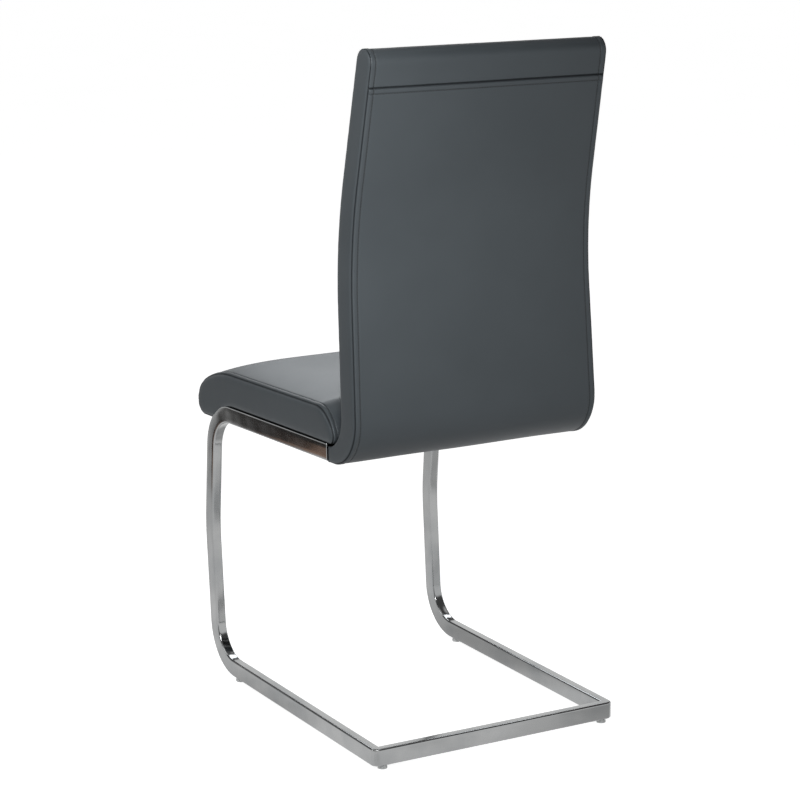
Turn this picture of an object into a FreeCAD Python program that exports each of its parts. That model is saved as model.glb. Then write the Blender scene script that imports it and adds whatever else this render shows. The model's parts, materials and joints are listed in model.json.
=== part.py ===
"""Cantilever dining chair: a bent chromed tube frame, an upholstered seat and an upholstered back.

Millimetres, +Z up. The chair faces -Y, so its left side is +X. The floor is Z = 0 and the
origin lies under the middle of the chair. Left and right are the sitter's.
"""
import FreeCAD, Part
import math
import os

V = FreeCAD.Vector

# Overall
overall_depth = 553.0
back_height = 991.0
rear_y = overall_depth / 2

# Chromed frame: two C-shaped side tubes, joined at the floor by a mitred bar
base_width = 400.0
tube_width = 15.0
tube_depth = 25.0
tube_wall = 1.5
tube_corner = 2.5
corner_flats = 3
bend_radius = 65.0
leg_lean = 4.65
leg_bow_height = 229.0
leg_bow_radius = 300.0
leg_setback = 18.8
mitre_corner = 7.0
rail_rise = 2.15
rail_top_mid = 434.0
rail_end_y = 143.0

# Glides under the floor rails and the rear bar
glide_height = 5.3
glide_diameter = 14.0
glide_pin = 5.0
glide_pin_length = 8.0
glide_edge = 1.0
pin_gap = 0.1
front_glide_y = -155.0
rear_glide_inset = 17.0

# Crossbars under the seat, and what bolts the seat to them
crossbar_width = 25.0
crossbar_height = 15.0
front_crossbar_y = -116.0
rear_crossbar_y = 64.0
seat_bolt_x = 115.0
bolt_diameter = 6.0
bolt_hole = 6.6
bolt_head_flats = 10.0
bolt_head_height = 4.0
washer_diameter = 15.0
washer_thickness = 1.2
nut_barrel = 8.0
nut_barrel_length = 9.0
nut_flange = 19.0
nut_flange_thickness = 1.5
thread_gap = 0.1
dust_cover_thickness = 0.8
dust_cover_inset = 2.0
dust_cover_gap = 1.0

# Covers and foam
skin = 1.5
foam_gap = 0.3
crown_flatness = 4.0
dome_inset = 5.0

# Seat, in a frame whose y runs back along the rails and whose z stands square on them
seat_side_inset = 2.0
seat_side_height = 50.0
seat_crown = 12.5
seat_crown_steps = 3
nose_crown = 4.0
nose_crown_reach = 100.0
seat_rear_y = 161.0
seat_rear_foot = 10.0
nose_drop = 25.0
nose_foot_radius = 19.0
nose_brow_radius = 40.0
nose_brow_turn = 65.0
seat_side_dome = 2.5
board_thickness = 12.0
board_corner = 20.0
board_front_gap = 4.0
board_side_gap = 5.0
board_rear_gap = 10.0
leg_clearance = 0.6

# Back: a slab that bows forward at the lumbar and turns forward in a lip under the seat
back_side_inset = 2.5
back_taper = 22.0
width_low_z = 420.0
width_high_drop = 46.0
back_thickness = 40.0
lumbar_y = 178.2
lumbar_z = 724.6
lumbar_radius = 600.0
upper_lean = 11.5
lower_lean = 5.0
heel_radius = 65.5
lip_thickness = 22.0
lip_inner_radius = 45.0
lip_drop = 1.6
back_crown_steps = 2
back_front_crown = 6.0
back_rear_crown = 3.5
back_crown_low_z = 500.0
back_side_dome = 1.8
band_drop = 52.5

# Steel frame and plywood panel in the back
post_width = 8.0
post_depth = 16.0
post_heel_radius = 48.0
post_top_gap = 24.0
spigot_length = 60.0
spigot_gap = 0.6
lip_room_length = 22.0
set_screw_inset = 26.0
set_screw_length = 14.0
set_screw_socket = 3.0
back_rail_height = 20.0
back_rail_thickness = 5.0
bottom_rail_z = 520.0
middle_rail_drop = 156.0
top_rail_drop = 56.0
panel_thickness = 5.0
panel_low_z = 506.0
panel_drop = 41.0
panel_screw = 4.0
panel_screw_head = 8.0
panel_screw_head_height = 2.0
panel_screw_tip = 1.0
panel_screw_x = 130.0
screwed_rails = ("bottom_back_rail", "top_back_rail")

nose_y = nose_crown - overall_depth / 2
half_base = base_width / 2
tube_x = half_base - tube_width / 2
rail_inner_x = half_base - tube_width
floor_rail_top = glide_height + tube_depth
rise = math.radians(rail_rise)
lean = math.radians(leg_lean)
seat_width = base_width - 2 * seat_side_inset
back_width_low = base_width - 2 * back_side_inset
back_width_high = back_width_low - back_taper
width_high_z = back_height - width_high_drop
band_z = back_height - band_drop
panel_high_z = back_height - panel_drop
back_rail_heights = {"bottom_back_rail": bottom_rail_z, "middle_back_rail": back_height - middle_rail_drop,
                     "top_back_rail": back_height - top_rail_drop}

# How far a cutting shape runs past what it cuts, and the chair's front in degrees from +y
cut_past = 5.0
far_past = 60.0
front_angle = 180.0


def save(name, shape):
    """Write one sub-part as its own STEP file."""
    shape.exportStep("parts/%s.step" % name)
    print("%-24s solids %d  volume %10.1f  valid %s" % (
        name, len(shape.Solids), shape.Volume, shape.isValid()))


def mirrored(shape):
    """The same shape on the other side of the chair."""
    return shape.mirror(V(0, 0, 0), V(1, 0, 0))


def prism_y(points, y_low, y_high):
    """A prism along Y over a closed (x, z) polygon."""
    corners = [V(x, y_low, z) for x, z in points]
    return Part.Face(Part.makePolygon(corners + corners[:1])).extrude(V(0, y_high - y_low, 0))


def prism_z(points, z_low, z_high):
    """A prism along Z over a closed (x, y) polygon."""
    corners = [V(x, y, z_low) for x, y in points]
    return Part.Face(Part.makePolygon(corners + corners[:1])).extrude(V(0, 0, z_high - z_low))


def box(x_low, x_high, y_low, y_high, z_low, z_high):
    return Part.makeBox(x_high - x_low, y_high - y_low, z_high - z_low, V(x_low, y_low, z_low))


def rod(x, y, z_low, z_high, diameter):
    return Part.makeCylinder(diameter / 2, z_high - z_low, V(x, y, z_low))


def rod_back(x, y_low, y_high, diameter):
    """A cylinder along Y at Z = 0."""
    return Part.makeCylinder(diameter / 2, y_high - y_low, V(x, y_low, 0), V(0, 1, 0))


def hexagon(x, y, z_low, z_high, flats):
    """A bolt head, given by its width across the flats."""
    reach = flats / math.sqrt(3)
    angles = [math.radians(60 * i) for i in range(6)]
    return prism_z([(x + reach * math.cos(a), y + reach * math.sin(a)) for a in angles], z_low, z_high)


def meet(point_a, angle_a, point_b, angle_b):
    """Where two (y, z) lines meet, each given by a point and its angle from +y."""
    ca, sa = math.cos(angle_a), math.sin(angle_a)
    cb, sb = math.cos(angle_b), math.sin(angle_b)
    t = ((point_b[0] - point_a[0]) * sb - (point_b[1] - point_a[1]) * cb) / (ca * sb - sa * cb)
    return point_a[0] + t * ca, point_a[1] + t * sa


def toward(start, end, distance):
    length = math.hypot(end[0] - start[0], end[1] - start[1])
    return tuple(start[i] + (end[i] - start[i]) * distance / length for i in (0, 1))


def rounded_route(points, radii):
    """Lines through (y, z) points, with a tangent arc of the given radius at each inner point."""
    route = []
    here = points[0]
    for i, radius in enumerate(radii, start=1):
        before, corner, after = points[i - 1], points[i], points[i + 1]
        turn_in = math.atan2(corner[1] - before[1], corner[0] - before[0])
        turn_out = math.atan2(after[1] - corner[1], after[0] - corner[0])
        turn = (turn_out - turn_in + math.pi) % (2 * math.pi) - math.pi
        reach = radius * math.tan(abs(turn) / 2)
        first = toward(corner, before, reach)
        last = toward(corner, after, reach)
        bisector = ((first[0] + last[0]) / 2, (first[1] + last[1]) / 2)
        middle = toward(corner, bisector, radius / math.cos(turn / 2) - radius)
        route += [(here, first), (first, middle, last)]
        here = last
    return route + [(here, points[-1])]


def edge_at(piece, x_of):
    """A line or three-point arc of a (y, z) outline, with x given by a function of z."""
    points = [V(x_of(z), y, z) for y, z in piece]
    return Part.LineSegment(*points).toShape() if len(points) == 2 else Part.Arc(*points).toShape()


def wire_at(outline, x_of):
    return Part.Wire([edge_at(piece, x_of) for piece in outline])


def inward(piece, index):
    """The inward normal of an outline piece at one of its points; the outline runs counter-clockwise."""
    if len(piece) == 2:
        dy, dz = piece[1][0] - piece[0][0], piece[1][1] - piece[0][1]
        length = math.hypot(dy, dz)
        return -dz / length, dy / length
    circle = edge_at(piece, lambda z: 0).Curve
    centre, radius = circle.Center, circle.Radius
    (y0, z0), (y1, z1), (y2, z2) = piece
    side = 1 if (y1 - y0) * (z2 - z1) - (z1 - z0) * (y2 - y1) > 0 else -1
    y, z = piece[index]
    return side * (centre.y - y) / radius, side * (centre.z - z) / radius


def inset(outline, distance):
    """The outline moved inwards everywhere by one distance, with its corners kept."""
    corners = []
    for i, piece in enumerate(outline):
        a, b = inward(outline[i - 1], -1), inward(piece, 0)
        share = distance / (1 + a[0] * b[0] + a[1] * b[1])
        y, z = piece[0]
        corners.append((y + (a[0] + b[0]) * share, z + (a[1] + b[1]) * share))
    result = []
    for i, piece in enumerate(outline):
        start, end = corners[i], corners[(i + 1) % len(outline)]
        if len(piece) == 2:
            result.append((start, end))
        else:
            n = inward(piece, 1)
            middle = (piece[1][0] + n[0] * distance, piece[1][1] + n[1] * distance)
            result.append((start, middle, end))
    return result


def moved(outline, shift):
    """The outline with every point moved by a function of y and z."""
    return [tuple(shift(y, z) for y, z in piece) for piece in outline]


def crown_stations(steps):
    """Places across the width, from -1 to 1 and closer at the seams, each with its share of the crown."""
    places = [math.sin(math.pi / 2 * i / steps) for i in range(-steps, steps + 1)]
    return [(s, 1 - abs(s) ** crown_flatness) for s in places]


def crowned_body(outline, steps, half_width, distance, past):
    """A crowned outline lofted across the width, inset by a distance and run on past its two ends."""
    places = [(s, 0.0, crown) for s, crown in crown_stations(steps)]
    if past:
        places = [(-1.0, -past, 0.0)] + places + [(1.0, past, 0.0)]
    wires = [wire_at(inset(outline(crown), distance), lambda z, s=s, more=more: s * half_width(z) + more)
             for s, more, crown in places]
    return Part.makeLoft(wires, True, True)


def tube_face(centre, along, width, depth, corner):
    """A rectangle across a (y, z) direction, its corners rounded by a few flats."""
    up = V(0, -math.sin(along), math.cos(along))
    points = []
    for quarter, (side, end) in enumerate(((1, 1), (-1, 1), (-1, -1), (1, -1))):
        for i in range(corner_flats + 1 if corner else 1):
            angle = math.pi / 2 * (quarter + i / corner_flats)
            across = side * (width / 2 - corner) + corner * math.cos(angle)
            high = end * (depth / 2 - corner) + corner * math.sin(angle)
            points.append(V(*centre) + V(across, 0, 0) + up * high)
    return Part.Face(Part.makePolygon(points + points[:1]))


def swept_bar(route, x, width, depth, corner=0.0):
    """A bar along a route in the plane X = x."""
    path = wire_at(route, lambda z: x)
    (y0, z0), (y1, z1) = route[0]
    face = tube_face((x, y0, z0), math.atan2(z1 - z0, y1 - y0), width, depth, corner)
    return path.makePipe(face)


def swept_tube(route, x, width, depth, corner, wall):
    outside = swept_bar(route, x, width, depth, corner)
    inside = swept_bar(route, x, width - 2 * wall, depth - 2 * wall)
    return outside.cut(inside)


def rail_point(y, below_top):
    """A point of the sloping seat rail, below its top face."""
    return y, rail_top_mid + y * math.tan(rise) - below_top / math.cos(rise)


def side_tube_route():
    """Centre line of a side tube: seat rail, front leg with its forward bow, floor rail."""
    half = tube_depth / 2
    bow = (nose_y + leg_setback + half / math.cos(lean), leg_bow_height)
    top = meet(rail_point(0, half), rise, bow, math.pi / 2 - lean)
    floor = (0, glide_height + half)
    low = meet(floor, 0, bow, math.pi / 2 + lean)
    points = [rail_point(rail_end_y, half), top, bow, low, (rear_y, floor[1])]
    return rounded_route(points, [bend_radius, leg_bow_radius, bend_radius])


def mitre_region():
    """Everything that belongs to the rear bar in plan, between the two 45 degree mitres."""
    reach = far_past
    points = [(-half_base - reach, rear_y + reach), (half_base + reach, rear_y + reach),
              (half_base - reach, rear_y - reach), (reach - half_base, rear_y - reach)]
    return prism_z(points, 0, floor_rail_top + cut_past)


def corner_waste():
    """What is ground off the outer corner of the left mitre."""
    r = mitre_corner
    high = floor_rail_top + cut_past
    block = box(half_base - r, half_base + cut_past, rear_y - r, rear_y + cut_past, 0, high)
    return block.cut(rod(half_base - r, rear_y - r, 0, high, 2 * r))


def set_screw_y():
    return rail_end_y - set_screw_inset


def side_tube(side):
    """One bent tube, with side 1 on the left and -1 on the right."""
    x = side * tube_x
    tube = swept_tube(side_tube_route(), x, tube_width, tube_depth, tube_corner, tube_wall)
    waste = corner_waste()
    tube = tube.cut(mitre_region()).cut(waste if side > 0 else mirrored(waste))
    rail_hole = rod(x, set_screw_y(), -tube_depth - cut_past, 2 * tube_wall - tube_depth, bolt_hole)
    return tube.cut(glide_hole(x, front_glide_y)).cut(on_rails(rail_hole))


def rear_floor_bar():
    centre_y = rear_y - tube_width / 2
    centre_z = glide_height + tube_depth / 2
    outside = tube_face((0, 0, 0), 0, tube_width, tube_depth, tube_corner)
    inside = tube_face((0, 0, 0), 0, tube_width - 2 * tube_wall, tube_depth - 2 * tube_wall, 0)
    bar = outside.extrude(V(0, base_width, 0)).cut(inside.extrude(V(0, base_width, 0)))
    bar.rotate(V(0, 0, 0), V(0, 0, 1), 90)
    bar.translate(V(half_base, centre_y, centre_z))
    bar = bar.common(mitre_region()).cut(corner_waste()).cut(mirrored(corner_waste()))
    for side in (-1, 1):
        bar = bar.cut(glide_hole(side * (half_base - rear_glide_inset), centre_y))
    return bar


def glide_hole(x, y):
    return rod(x, y, 0, glide_height + 2 * tube_wall, glide_pin + 2 * pin_gap)


def glide_pair(x, y):
    """Two plastic glides: discs under the tube, each with a pin pushed into it."""
    disc = rod(x, y, 0, glide_height, glide_diameter)
    lower = [edge for edge in disc.Edges if edge.BoundBox.ZMax < glide_height / 2 and len(edge.Vertexes) == 1]
    disc = disc.makeChamfer(glide_edge, lower)
    glide = disc.fuse(rod(x, y, glide_height, glide_height + glide_pin_length, glide_pin))
    return Part.makeCompound([glide, mirrored(glide)])


def on_rails(shape):
    """Set a shape that was drawn flat on the sloping seat rails."""
    shape = shape.copy()
    shape.rotate(V(0, 0, 0), V(1, 0, 0), rail_rise)
    shape.translate(V(0, 0, rail_top_mid))
    return shape


def seat_bolt_points():
    return [(side * seat_bolt_x, y) for y in (front_crossbar_y, rear_crossbar_y) for side in (-1, 1)]


def crossbar(y):
    """A tube welded between the seat rails, its top level with the dust cover's underside."""
    top = -dust_cover_thickness
    outside = box(-rail_inner_x, rail_inner_x, y - crossbar_width / 2, y + crossbar_width / 2,
                  top - crossbar_height, top)
    long_edges = [edge for edge in outside.Edges if edge.BoundBox.XLength > rail_inner_x]
    outside = outside.makeFillet(tube_corner, long_edges)
    inside = box(-rail_inner_x, rail_inner_x, y - crossbar_width / 2 + tube_wall,
                 y + crossbar_width / 2 - tube_wall, top - crossbar_height + tube_wall, top - tube_wall)
    bar = outside.cut(inside)
    for side in (-1, 1):
        bar = bar.cut(rod(side * seat_bolt_x, y, top - crossbar_height - cut_past, cut_past, bolt_hole))
    return on_rails(bar)


def leg_arc():
    """Centre and radius of the outer face of the upper bend, in the seat's own frame."""
    route = side_tube_route()
    start = route[1][0]
    y = start[0] * math.cos(rise) + (start[1] - rail_top_mid) * math.sin(rise)
    return (y, -tube_depth / 2 - bend_radius), bend_radius + tube_depth / 2


def arc_piece(centre, radius, start, end):
    """Three points on a circle, by angles in degrees from +y."""
    angles = (start, (start + end) / 2, end)
    return tuple((centre[0] + radius * math.cos(math.radians(a)),
                  centre[1] + radius * math.sin(math.radians(a))) for a in angles)


def seat_outline():
    """The seat from the side, in its own frame: flat on the rails, hollowed over the leg bends."""
    (leg_y, leg_z), leg_r = leg_arc()
    leg_r = leg_r + leg_clearance
    height = seat_side_height
    local_nose = nose_y * math.cos(rise) + (nose_drop_height() - rail_top_mid) * math.sin(rise)
    foot = (local_nose + nose_foot_radius, nose_foot_radius - nose_drop)
    brow = (local_nose + nose_brow_radius, foot[1])
    brow_piece = arc_piece(brow, nose_brow_radius, front_angle - nose_brow_turn, front_angle)
    left_to_rise = height - brow_piece[0][1]
    slope = 90 - nose_brow_turn
    blend_radius = left_to_rise / (1 - math.cos(math.radians(slope)))
    blend_y = brow_piece[0][0] + blend_radius * math.sin(math.radians(slope))
    blend_piece = arc_piece((blend_y, height - blend_radius), blend_radius, 90, 90 + slope)
    roll = (seat_rear_y - height, 0)
    foot_turn = math.degrees(math.asin(seat_rear_foot / (height - seat_rear_foot)))
    roll_piece = arc_piece(roll, height, foot_turn, 90)
    heel = (roll[0] + (height - seat_rear_foot) * math.cos(math.radians(foot_turn)), seat_rear_foot)
    heel_piece = arc_piece(heel, seat_rear_foot, -90, foot_turn)
    drop = math.degrees(math.asin((-nose_drop - leg_z) / leg_r))
    leg_piece = arc_piece((leg_y, leg_z), leg_r, front_angle - drop, 90)
    leg_top = leg_piece[2]
    heel_low = (heel_piece[0][0], foam_gap)
    bottom = (leg_top, (heel_low[0], leg_top[1]))
    heel_piece = (bottom[1],) + heel_piece[1:]
    foot_piece = arc_piece(foot, nose_foot_radius, front_angle, front_angle + 90)
    return [bottom, heel_piece, roll_piece, (roll_piece[2], blend_piece[0]), blend_piece, brow_piece,
            foot_piece, (foot_piece[2], leg_piece[0]), leg_piece]


def nose_drop_height():
    """Height of the seat nose above the floor, where it stands furthest forward."""
    return rail_top_mid + nose_y * math.tan(rise) + nose_foot_radius - nose_drop


def seat_crowned(share):
    """The seat outline swollen by a share of the crown; the top rises and the nose comes forward."""
    base = board_thickness
    span = seat_side_height - base

    def shift(y, z):
        up = max(0.0, (z - base) / span)
        front = min(1.0, max(0.0, (nose_y + nose_crown_reach - y) / nose_crown_reach))
        return y - nose_crown * share * front, z + seat_crown * share * up

    return moved(seat_outline(), shift)


def seat_body(distance, half_width, past=0.0):
    """The crowned seat, inset by a distance and cut to a half width."""
    return crowned_body(seat_crowned, seat_crown_steps, lambda z: half_width, distance, past)


def domed_side(outline, x_of, dome):
    """A side panel: flat inside, with its outer face rounded up from the seam."""
    steps = ((-skin, 0.0), (0.0, 0.0), (dome, dome_inset))
    wires = [wire_at(inset(outline, d), lambda z, step=step: x_of(z) + step) for step, d in steps]
    return Part.makeLoft(wires, True, True)


def seat_board():
    """The plywood board that carries the seat, drilled for the bolts."""
    (leg_y, _), _ = leg_arc()
    half = seat_width / 2 - board_side_gap
    board = box(-half, half, leg_y + board_front_gap, seat_rear_y - board_rear_gap, 0, board_thickness)
    corners = [edge for edge in board.Edges if edge.BoundBox.ZLength > board_thickness / 2]
    board = board.makeFillet(board_corner, corners)
    for x, y in seat_bolt_points():
        hole = rod(x, y, -cut_past, board_thickness + cut_past, nut_barrel + 2 * thread_gap)
        board = board.cut(hole)
    return board


def seat_pieces():
    """The board, the foam round it and the leather, which is turned in under the board's edge."""
    half = seat_width / 2
    front = leg_arc()[0][0] + board_front_gap - foam_gap
    board = seat_board()
    clear = box(-half, half, front, seat_rear_y - board_rear_gap + foam_gap, -cut_past, board_thickness)
    foam = seat_body(skin + foam_gap, half - skin - foam_gap).cut(clear)
    for x, y in seat_bolt_points():
        high = board_thickness + nut_flange_thickness + foam_gap
        foam = foam.cut(rod(x, y, board_thickness, high, nut_flange + 2 * foam_gap))
    shell = seat_body(0, half - skin).cut(seat_body(skin, half - skin, cut_past))
    underside = box(-half, half, front, seat_rear_y - seat_rear_foot, -cut_past, 2 * skin)
    side = domed_side(seat_outline(), lambda z: half, seat_side_dome)
    pieces = {"seat_board": board, "seat_foam": foam, "seat_top_cover": shell.cut(underside),
              "seat_left_side_cover": side, "seat_right_side_cover": mirrored(side)}
    return {name: on_rails(shape) for name, shape in pieces.items()}


def dust_cover():
    """A sheet stapled under the board, held down by the crossbars."""
    (leg_y, _), _ = leg_arc()
    half = rail_inner_x - dust_cover_gap
    sheet = box(-half, half, leg_y + board_front_gap + dust_cover_inset,
                seat_rear_y - board_rear_gap - dust_cover_inset, -dust_cover_thickness, 0)
    for x, y in seat_bolt_points():
        sheet = sheet.cut(rod(x, y, -cut_past, cut_past, bolt_hole))
    return on_rails(sheet)


def bolt(x, y, head_top, tip):
    """A hexagon-headed bolt that points up."""
    head = hexagon(x, y, head_top - bolt_head_height, head_top, bolt_head_flats)
    return head.fuse(rod(x, y, head_top, tip, bolt_diameter))


def seat_fasteners():
    """Bolts, washers and tee nuts, four of each."""
    under = -dust_cover_thickness - crossbar_height
    head_top = under - washer_thickness
    high = board_thickness + nut_flange_thickness
    bolts, washers, nuts = [], [], []
    for x, y in seat_bolt_points():
        bolts.append(bolt(x, y, head_top, board_thickness))
        hole = rod(x, y, head_top, under, bolt_hole)
        washers.append(rod(x, y, head_top, under, washer_diameter).cut(hole))
        barrel = rod(x, y, board_thickness - nut_barrel_length, board_thickness, nut_barrel)
        bore = rod(x, y, 0, high, bolt_diameter + 2 * thread_gap)
        nuts.append(barrel.fuse(rod(x, y, board_thickness, high, nut_flange)).cut(bore))
    groups = {"seat_bolts": bolts, "seat_washers": washers, "seat_tee_nuts": nuts}
    return {name: on_rails(Part.makeCompound(shapes)) for name, shapes in groups.items()}


def back_half_width(z):
    slope = (back_width_low - back_width_high) / (width_high_z - width_low_z) / 2
    return back_width_low / 2 - slope * (z - width_low_z)


def back_route(offset, heel_centre_radius, lip_line):
    """A line of the back slab from the lip up to the top, at an offset behind its middle."""
    up, down = math.radians(90 - upper_lean), math.radians(90 + lower_lean)
    behind = offset
    middle = (lumbar_y, lumbar_z)
    upper_point = (middle[0] + behind * math.sin(up), middle[1] - behind * math.cos(up))
    lower_point = (middle[0] + behind * math.sin(down), middle[1] - behind * math.cos(down))
    lumbar = meet(upper_point, up, lower_point, down)
    heel = meet(lip_line, rise, lower_point, down)
    top = meet(upper_point, up, (0, back_height - back_thickness / 2), 0)
    lip_end = meet(lip_line, rise, rail_point(rail_end_y + foam_gap, 0), rise + math.pi / 2)
    return rounded_route([lip_end, heel, lumbar, top], [heel_centre_radius, lumbar_radius - behind])


def trimmed_lip(front):
    """The front line with its lip arc cut off where it meets the lip's front face."""
    arc = edge_at(front[1], lambda z: 0).Curve
    centre = (arc.Center.y, arc.Center.z)
    face = rail_point(rail_end_y + foam_gap, 0)
    ahead = (face[0] - centre[0]) * math.cos(rise) + (face[1] - centre[1]) * math.sin(rise)
    start = math.degrees(rise + math.asin(ahead / arc.Radius)) - 90
    end = math.degrees(math.atan2(front[1][2][1] - centre[1], front[1][2][0] - centre[0]))
    return [arc_piece(centre, arc.Radius, start, end)] + front[2:]


def back_outline():
    """The back from the side: lip, heel, bowed slab and a rounded top."""
    half = back_thickness / 2
    lip_low = rail_point(0, tube_depth + lip_drop)
    lip_high = rail_point(0, tube_depth + lip_drop - lip_thickness)
    rear = back_route(half, heel_radius, lip_low)
    front = trimmed_lip(back_route(-half, lip_inner_radius, lip_high))
    rear_top, front_top = rear[-1][-1], front[-1][-1]
    middle = ((rear_top[0] + front_top[0]) / 2, (rear_top[1] + front_top[1]) / 2)
    rear_quarter = arc_piece(middle, half, -upper_lean, 90 - upper_lean)
    front_quarter = arc_piece(middle, half, 90 - upper_lean, front_angle - upper_lean)
    rear[-1] = (rear[-1][0], rear_quarter[0])
    front[-1] = (front[-1][0], front_quarter[-1])
    down = [tuple(reversed(piece)) for piece in reversed(front)]
    return rear + [rear_quarter, front_quarter] + down + [(down[-1][-1], rear[0][0])]


def back_crowned(share):
    """The back outline with a share of its front and rear crown."""
    span = back_height - back_thickness / 2 - back_crown_low_z

    def shift(y, z):
        climb = min(1.0, max(0.0, (z - back_crown_low_z) / span))
        swell = share * math.sin(math.pi * climb)
        middle = slab_middle(z)
        return (y + back_rear_crown * swell, z) if y > middle else (y - back_front_crown * swell, z)

    return moved(back_outline(), shift)


def lumbar_arc():
    """Centre of the bowed middle of the slab."""
    up = math.radians(upper_lean)
    reach = lumbar_radius * math.tan(math.radians(upper_lean + lower_lean) / 2)
    return (lumbar_y + reach * math.sin(up) + lumbar_radius * math.cos(up),
            lumbar_z + reach * math.cos(up) - lumbar_radius * math.sin(up))


def lean_at(z):
    """How far the slab leans back at a height, in degrees."""
    along = (z - lumbar_arc()[1]) / lumbar_radius
    if along >= math.sin(math.radians(upper_lean)):
        return upper_lean
    return max(-lower_lean, math.degrees(math.asin(max(-1.0, along))))


def slab_middle(z):
    """Where the middle of the slab lies at a height."""
    angle = lean_at(z)
    if angle == upper_lean:
        return lumbar_y + (z - lumbar_z) * math.tan(math.radians(upper_lean))
    if angle == -lower_lean:
        return lumbar_y + (lumbar_z - z) * math.tan(math.radians(lower_lean))
    return lumbar_arc()[0] - lumbar_radius * math.cos(math.radians(angle))


def back_body(distance, side_gap, past=0.0):
    """The crowned back, inset by a distance, its ends a gap inside the side seams."""
    half_width = lambda z: back_half_width(z) - side_gap
    return crowned_body(back_crowned, back_crown_steps, half_width, distance, past)


def front_region(band):
    """All that lies in front of the middle of the slab, and, with a band, above the band seam."""
    mid_lip = rail_point(0, tube_depth + lip_drop - lip_thickness / 2)
    route = back_route(0, post_heel_radius, mid_lip)
    start, end = route[0][0], route[-1][-1]
    up = math.radians(90 - upper_lean)
    ahead = (start[0] - far_past, start[1] - far_past * math.tan(rise))
    high = back_height + far_past
    if band:
        seam = meet(end, up, (back_band_y(), band_z), up - math.pi / 2)
        behind = (seam[0] + far_past * math.sin(up), seam[1] - far_past * math.cos(up))
        corners = [seam, behind, (behind[0], high), (ahead[0], high), ahead]
    else:
        above = (end[0] + far_past * math.cos(up), end[1] + far_past * math.sin(up))
        corners = [above, (ahead[0], above[1]), ahead]
    route[-1] = (route[-1][0], corners[0])
    outline = [(ahead, start)] + route + list(zip(corners, corners[1:]))
    return Part.Face(wire_at(outline, lambda z: -base_width)).extrude(V(2 * base_width, 0, 0))


def back_band_y():
    """Y of the rear face at the band seam."""
    return slab_middle(band_z) + back_thickness / 2 / math.cos(math.radians(upper_lean))


def spigot_slots():
    """Slots in the front of the lip, where the two spigots come out."""
    room = 2 * foam_gap
    high = -tube_depth + tube_wall + spigot_gap + post_depth + room
    slot = on_rails(box(post_x() - post_width / 2 - room, post_x() + post_width / 2 + room,
                        rail_end_y - cut_past, rail_end_y + cut_past, high - post_depth - 2 * room, high))
    return slot.fuse(mirrored(slot))


def back_covers():
    """The leather of the back: front panel with the top band, rear panel, two sides."""
    shell = back_body(0, skin).cut(back_body(skin, skin, cut_past)).cut(spigot_slots())
    front = front_region(True)
    side = domed_side(back_outline(), back_half_width, back_side_dome)
    return {"back_front_cover": shell.common(front), "back_rear_cover": shell.cut(front),
            "back_left_side_cover": side, "back_right_side_cover": mirrored(side)}


def post_route():
    """Centre line of a back post: spigot in the seat rail, heel, bowed upright."""
    down_line = rail_point(0, tube_depth - tube_wall - spigot_gap - post_depth / 2)
    route = back_route(0, post_heel_radius, down_line)
    start = rail_point(rail_end_y - spigot_length, tube_depth - tube_wall - spigot_gap - post_depth / 2)
    route[0] = (start, route[0][1])
    end = route[-1][-1]
    begin = route[-1][0]
    length = math.hypot(end[0] - begin[0], end[1] - begin[1]) - post_top_gap + back_thickness / 2
    route[-1] = (begin, toward(begin, end, length))
    return route


def post_x():
    """Middle of the post, against the inner side of the rail's bore."""
    return rail_inner_x + tube_wall + spigot_gap + post_width / 2


def side_tilt():
    return math.degrees(math.atan((back_width_low - back_width_high) / 2 / (width_high_z - width_low_z)))


def tilted(shape):
    """Lean a left-hand shape inwards with the tapering sides of the back."""
    shape = shape.copy()
    pivot = post_route()[0][0]
    shape.rotate(V(post_x(), pivot[0], pivot[1]), V(0, 1, 0), -side_tilt())
    return shape


def left_back_post():
    post = tilted(swept_bar(post_route(), post_x(), post_width, post_depth))
    high = -tube_depth + set_screw_length + thread_gap
    return post.cut(on_rails(rod(tube_x, set_screw_y(), -tube_depth, high, bolt_diameter + 2 * thread_gap)))


def post_groove():
    """Room in the foam for the left post, open to the side, and all of the thin lip beside its spigot."""
    inner = post_x() - post_width / 2 - foam_gap
    width = half_base - inner + cut_past
    groove = swept_bar(post_route(), inner + width / 2, width, post_depth + 2 * foam_gap)
    low = rail_point(rail_end_y, tube_depth + lip_drop + cut_past)[1]
    high = rail_point(rail_end_y, tube_depth + lip_drop - lip_thickness - 3 * cut_past)[1]
    rear = rail_end_y + lip_room_length
    lip_room = box(inner - skin, inner + width, rail_end_y - cut_past, rear, low, high)
    return tilted(groove).fuse(lip_room)


def between_posts():
    """The space between the inner faces of the two posts."""
    pivot_z = post_route()[0][0][1]
    inner = post_x() - post_width / 2 / math.cos(math.radians(side_tilt()))
    slope = math.tan(math.radians(side_tilt()))
    low, high = rail_top_mid, back_height
    x_low, x_high = inner - (low - pivot_z) * slope, inner - (high - pivot_z) * slope
    return prism_y([(-x_low, low), (x_low, low), (x_high, high), (-x_high, high)], 0, overall_depth)


def slab_place(shape, z, lean_angle):
    """Set a shape that was drawn at the origin on the slab's middle, leaning as the slab does there."""
    shape = shape.copy()
    shape.rotate(V(0, 0, 0), V(1, 0, 0), -lean_angle)
    shape.translate(V(0, slab_middle(z), z))
    return shape


def back_rail(name, z):
    """A flat bar welded between the posts, behind the plywood panel; some are drilled for two screws."""
    half = back_rail_height / 2
    low = panel_thickness / 2
    bar = box(-half_base, half_base, low, low + back_rail_thickness, -half, half)
    bar = slab_place(bar, z, lean_at(z)).common(between_posts())
    for hole in screw_holes(z) if name in screwed_rails else []:
        bar = bar.cut(hole)
    return bar


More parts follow.
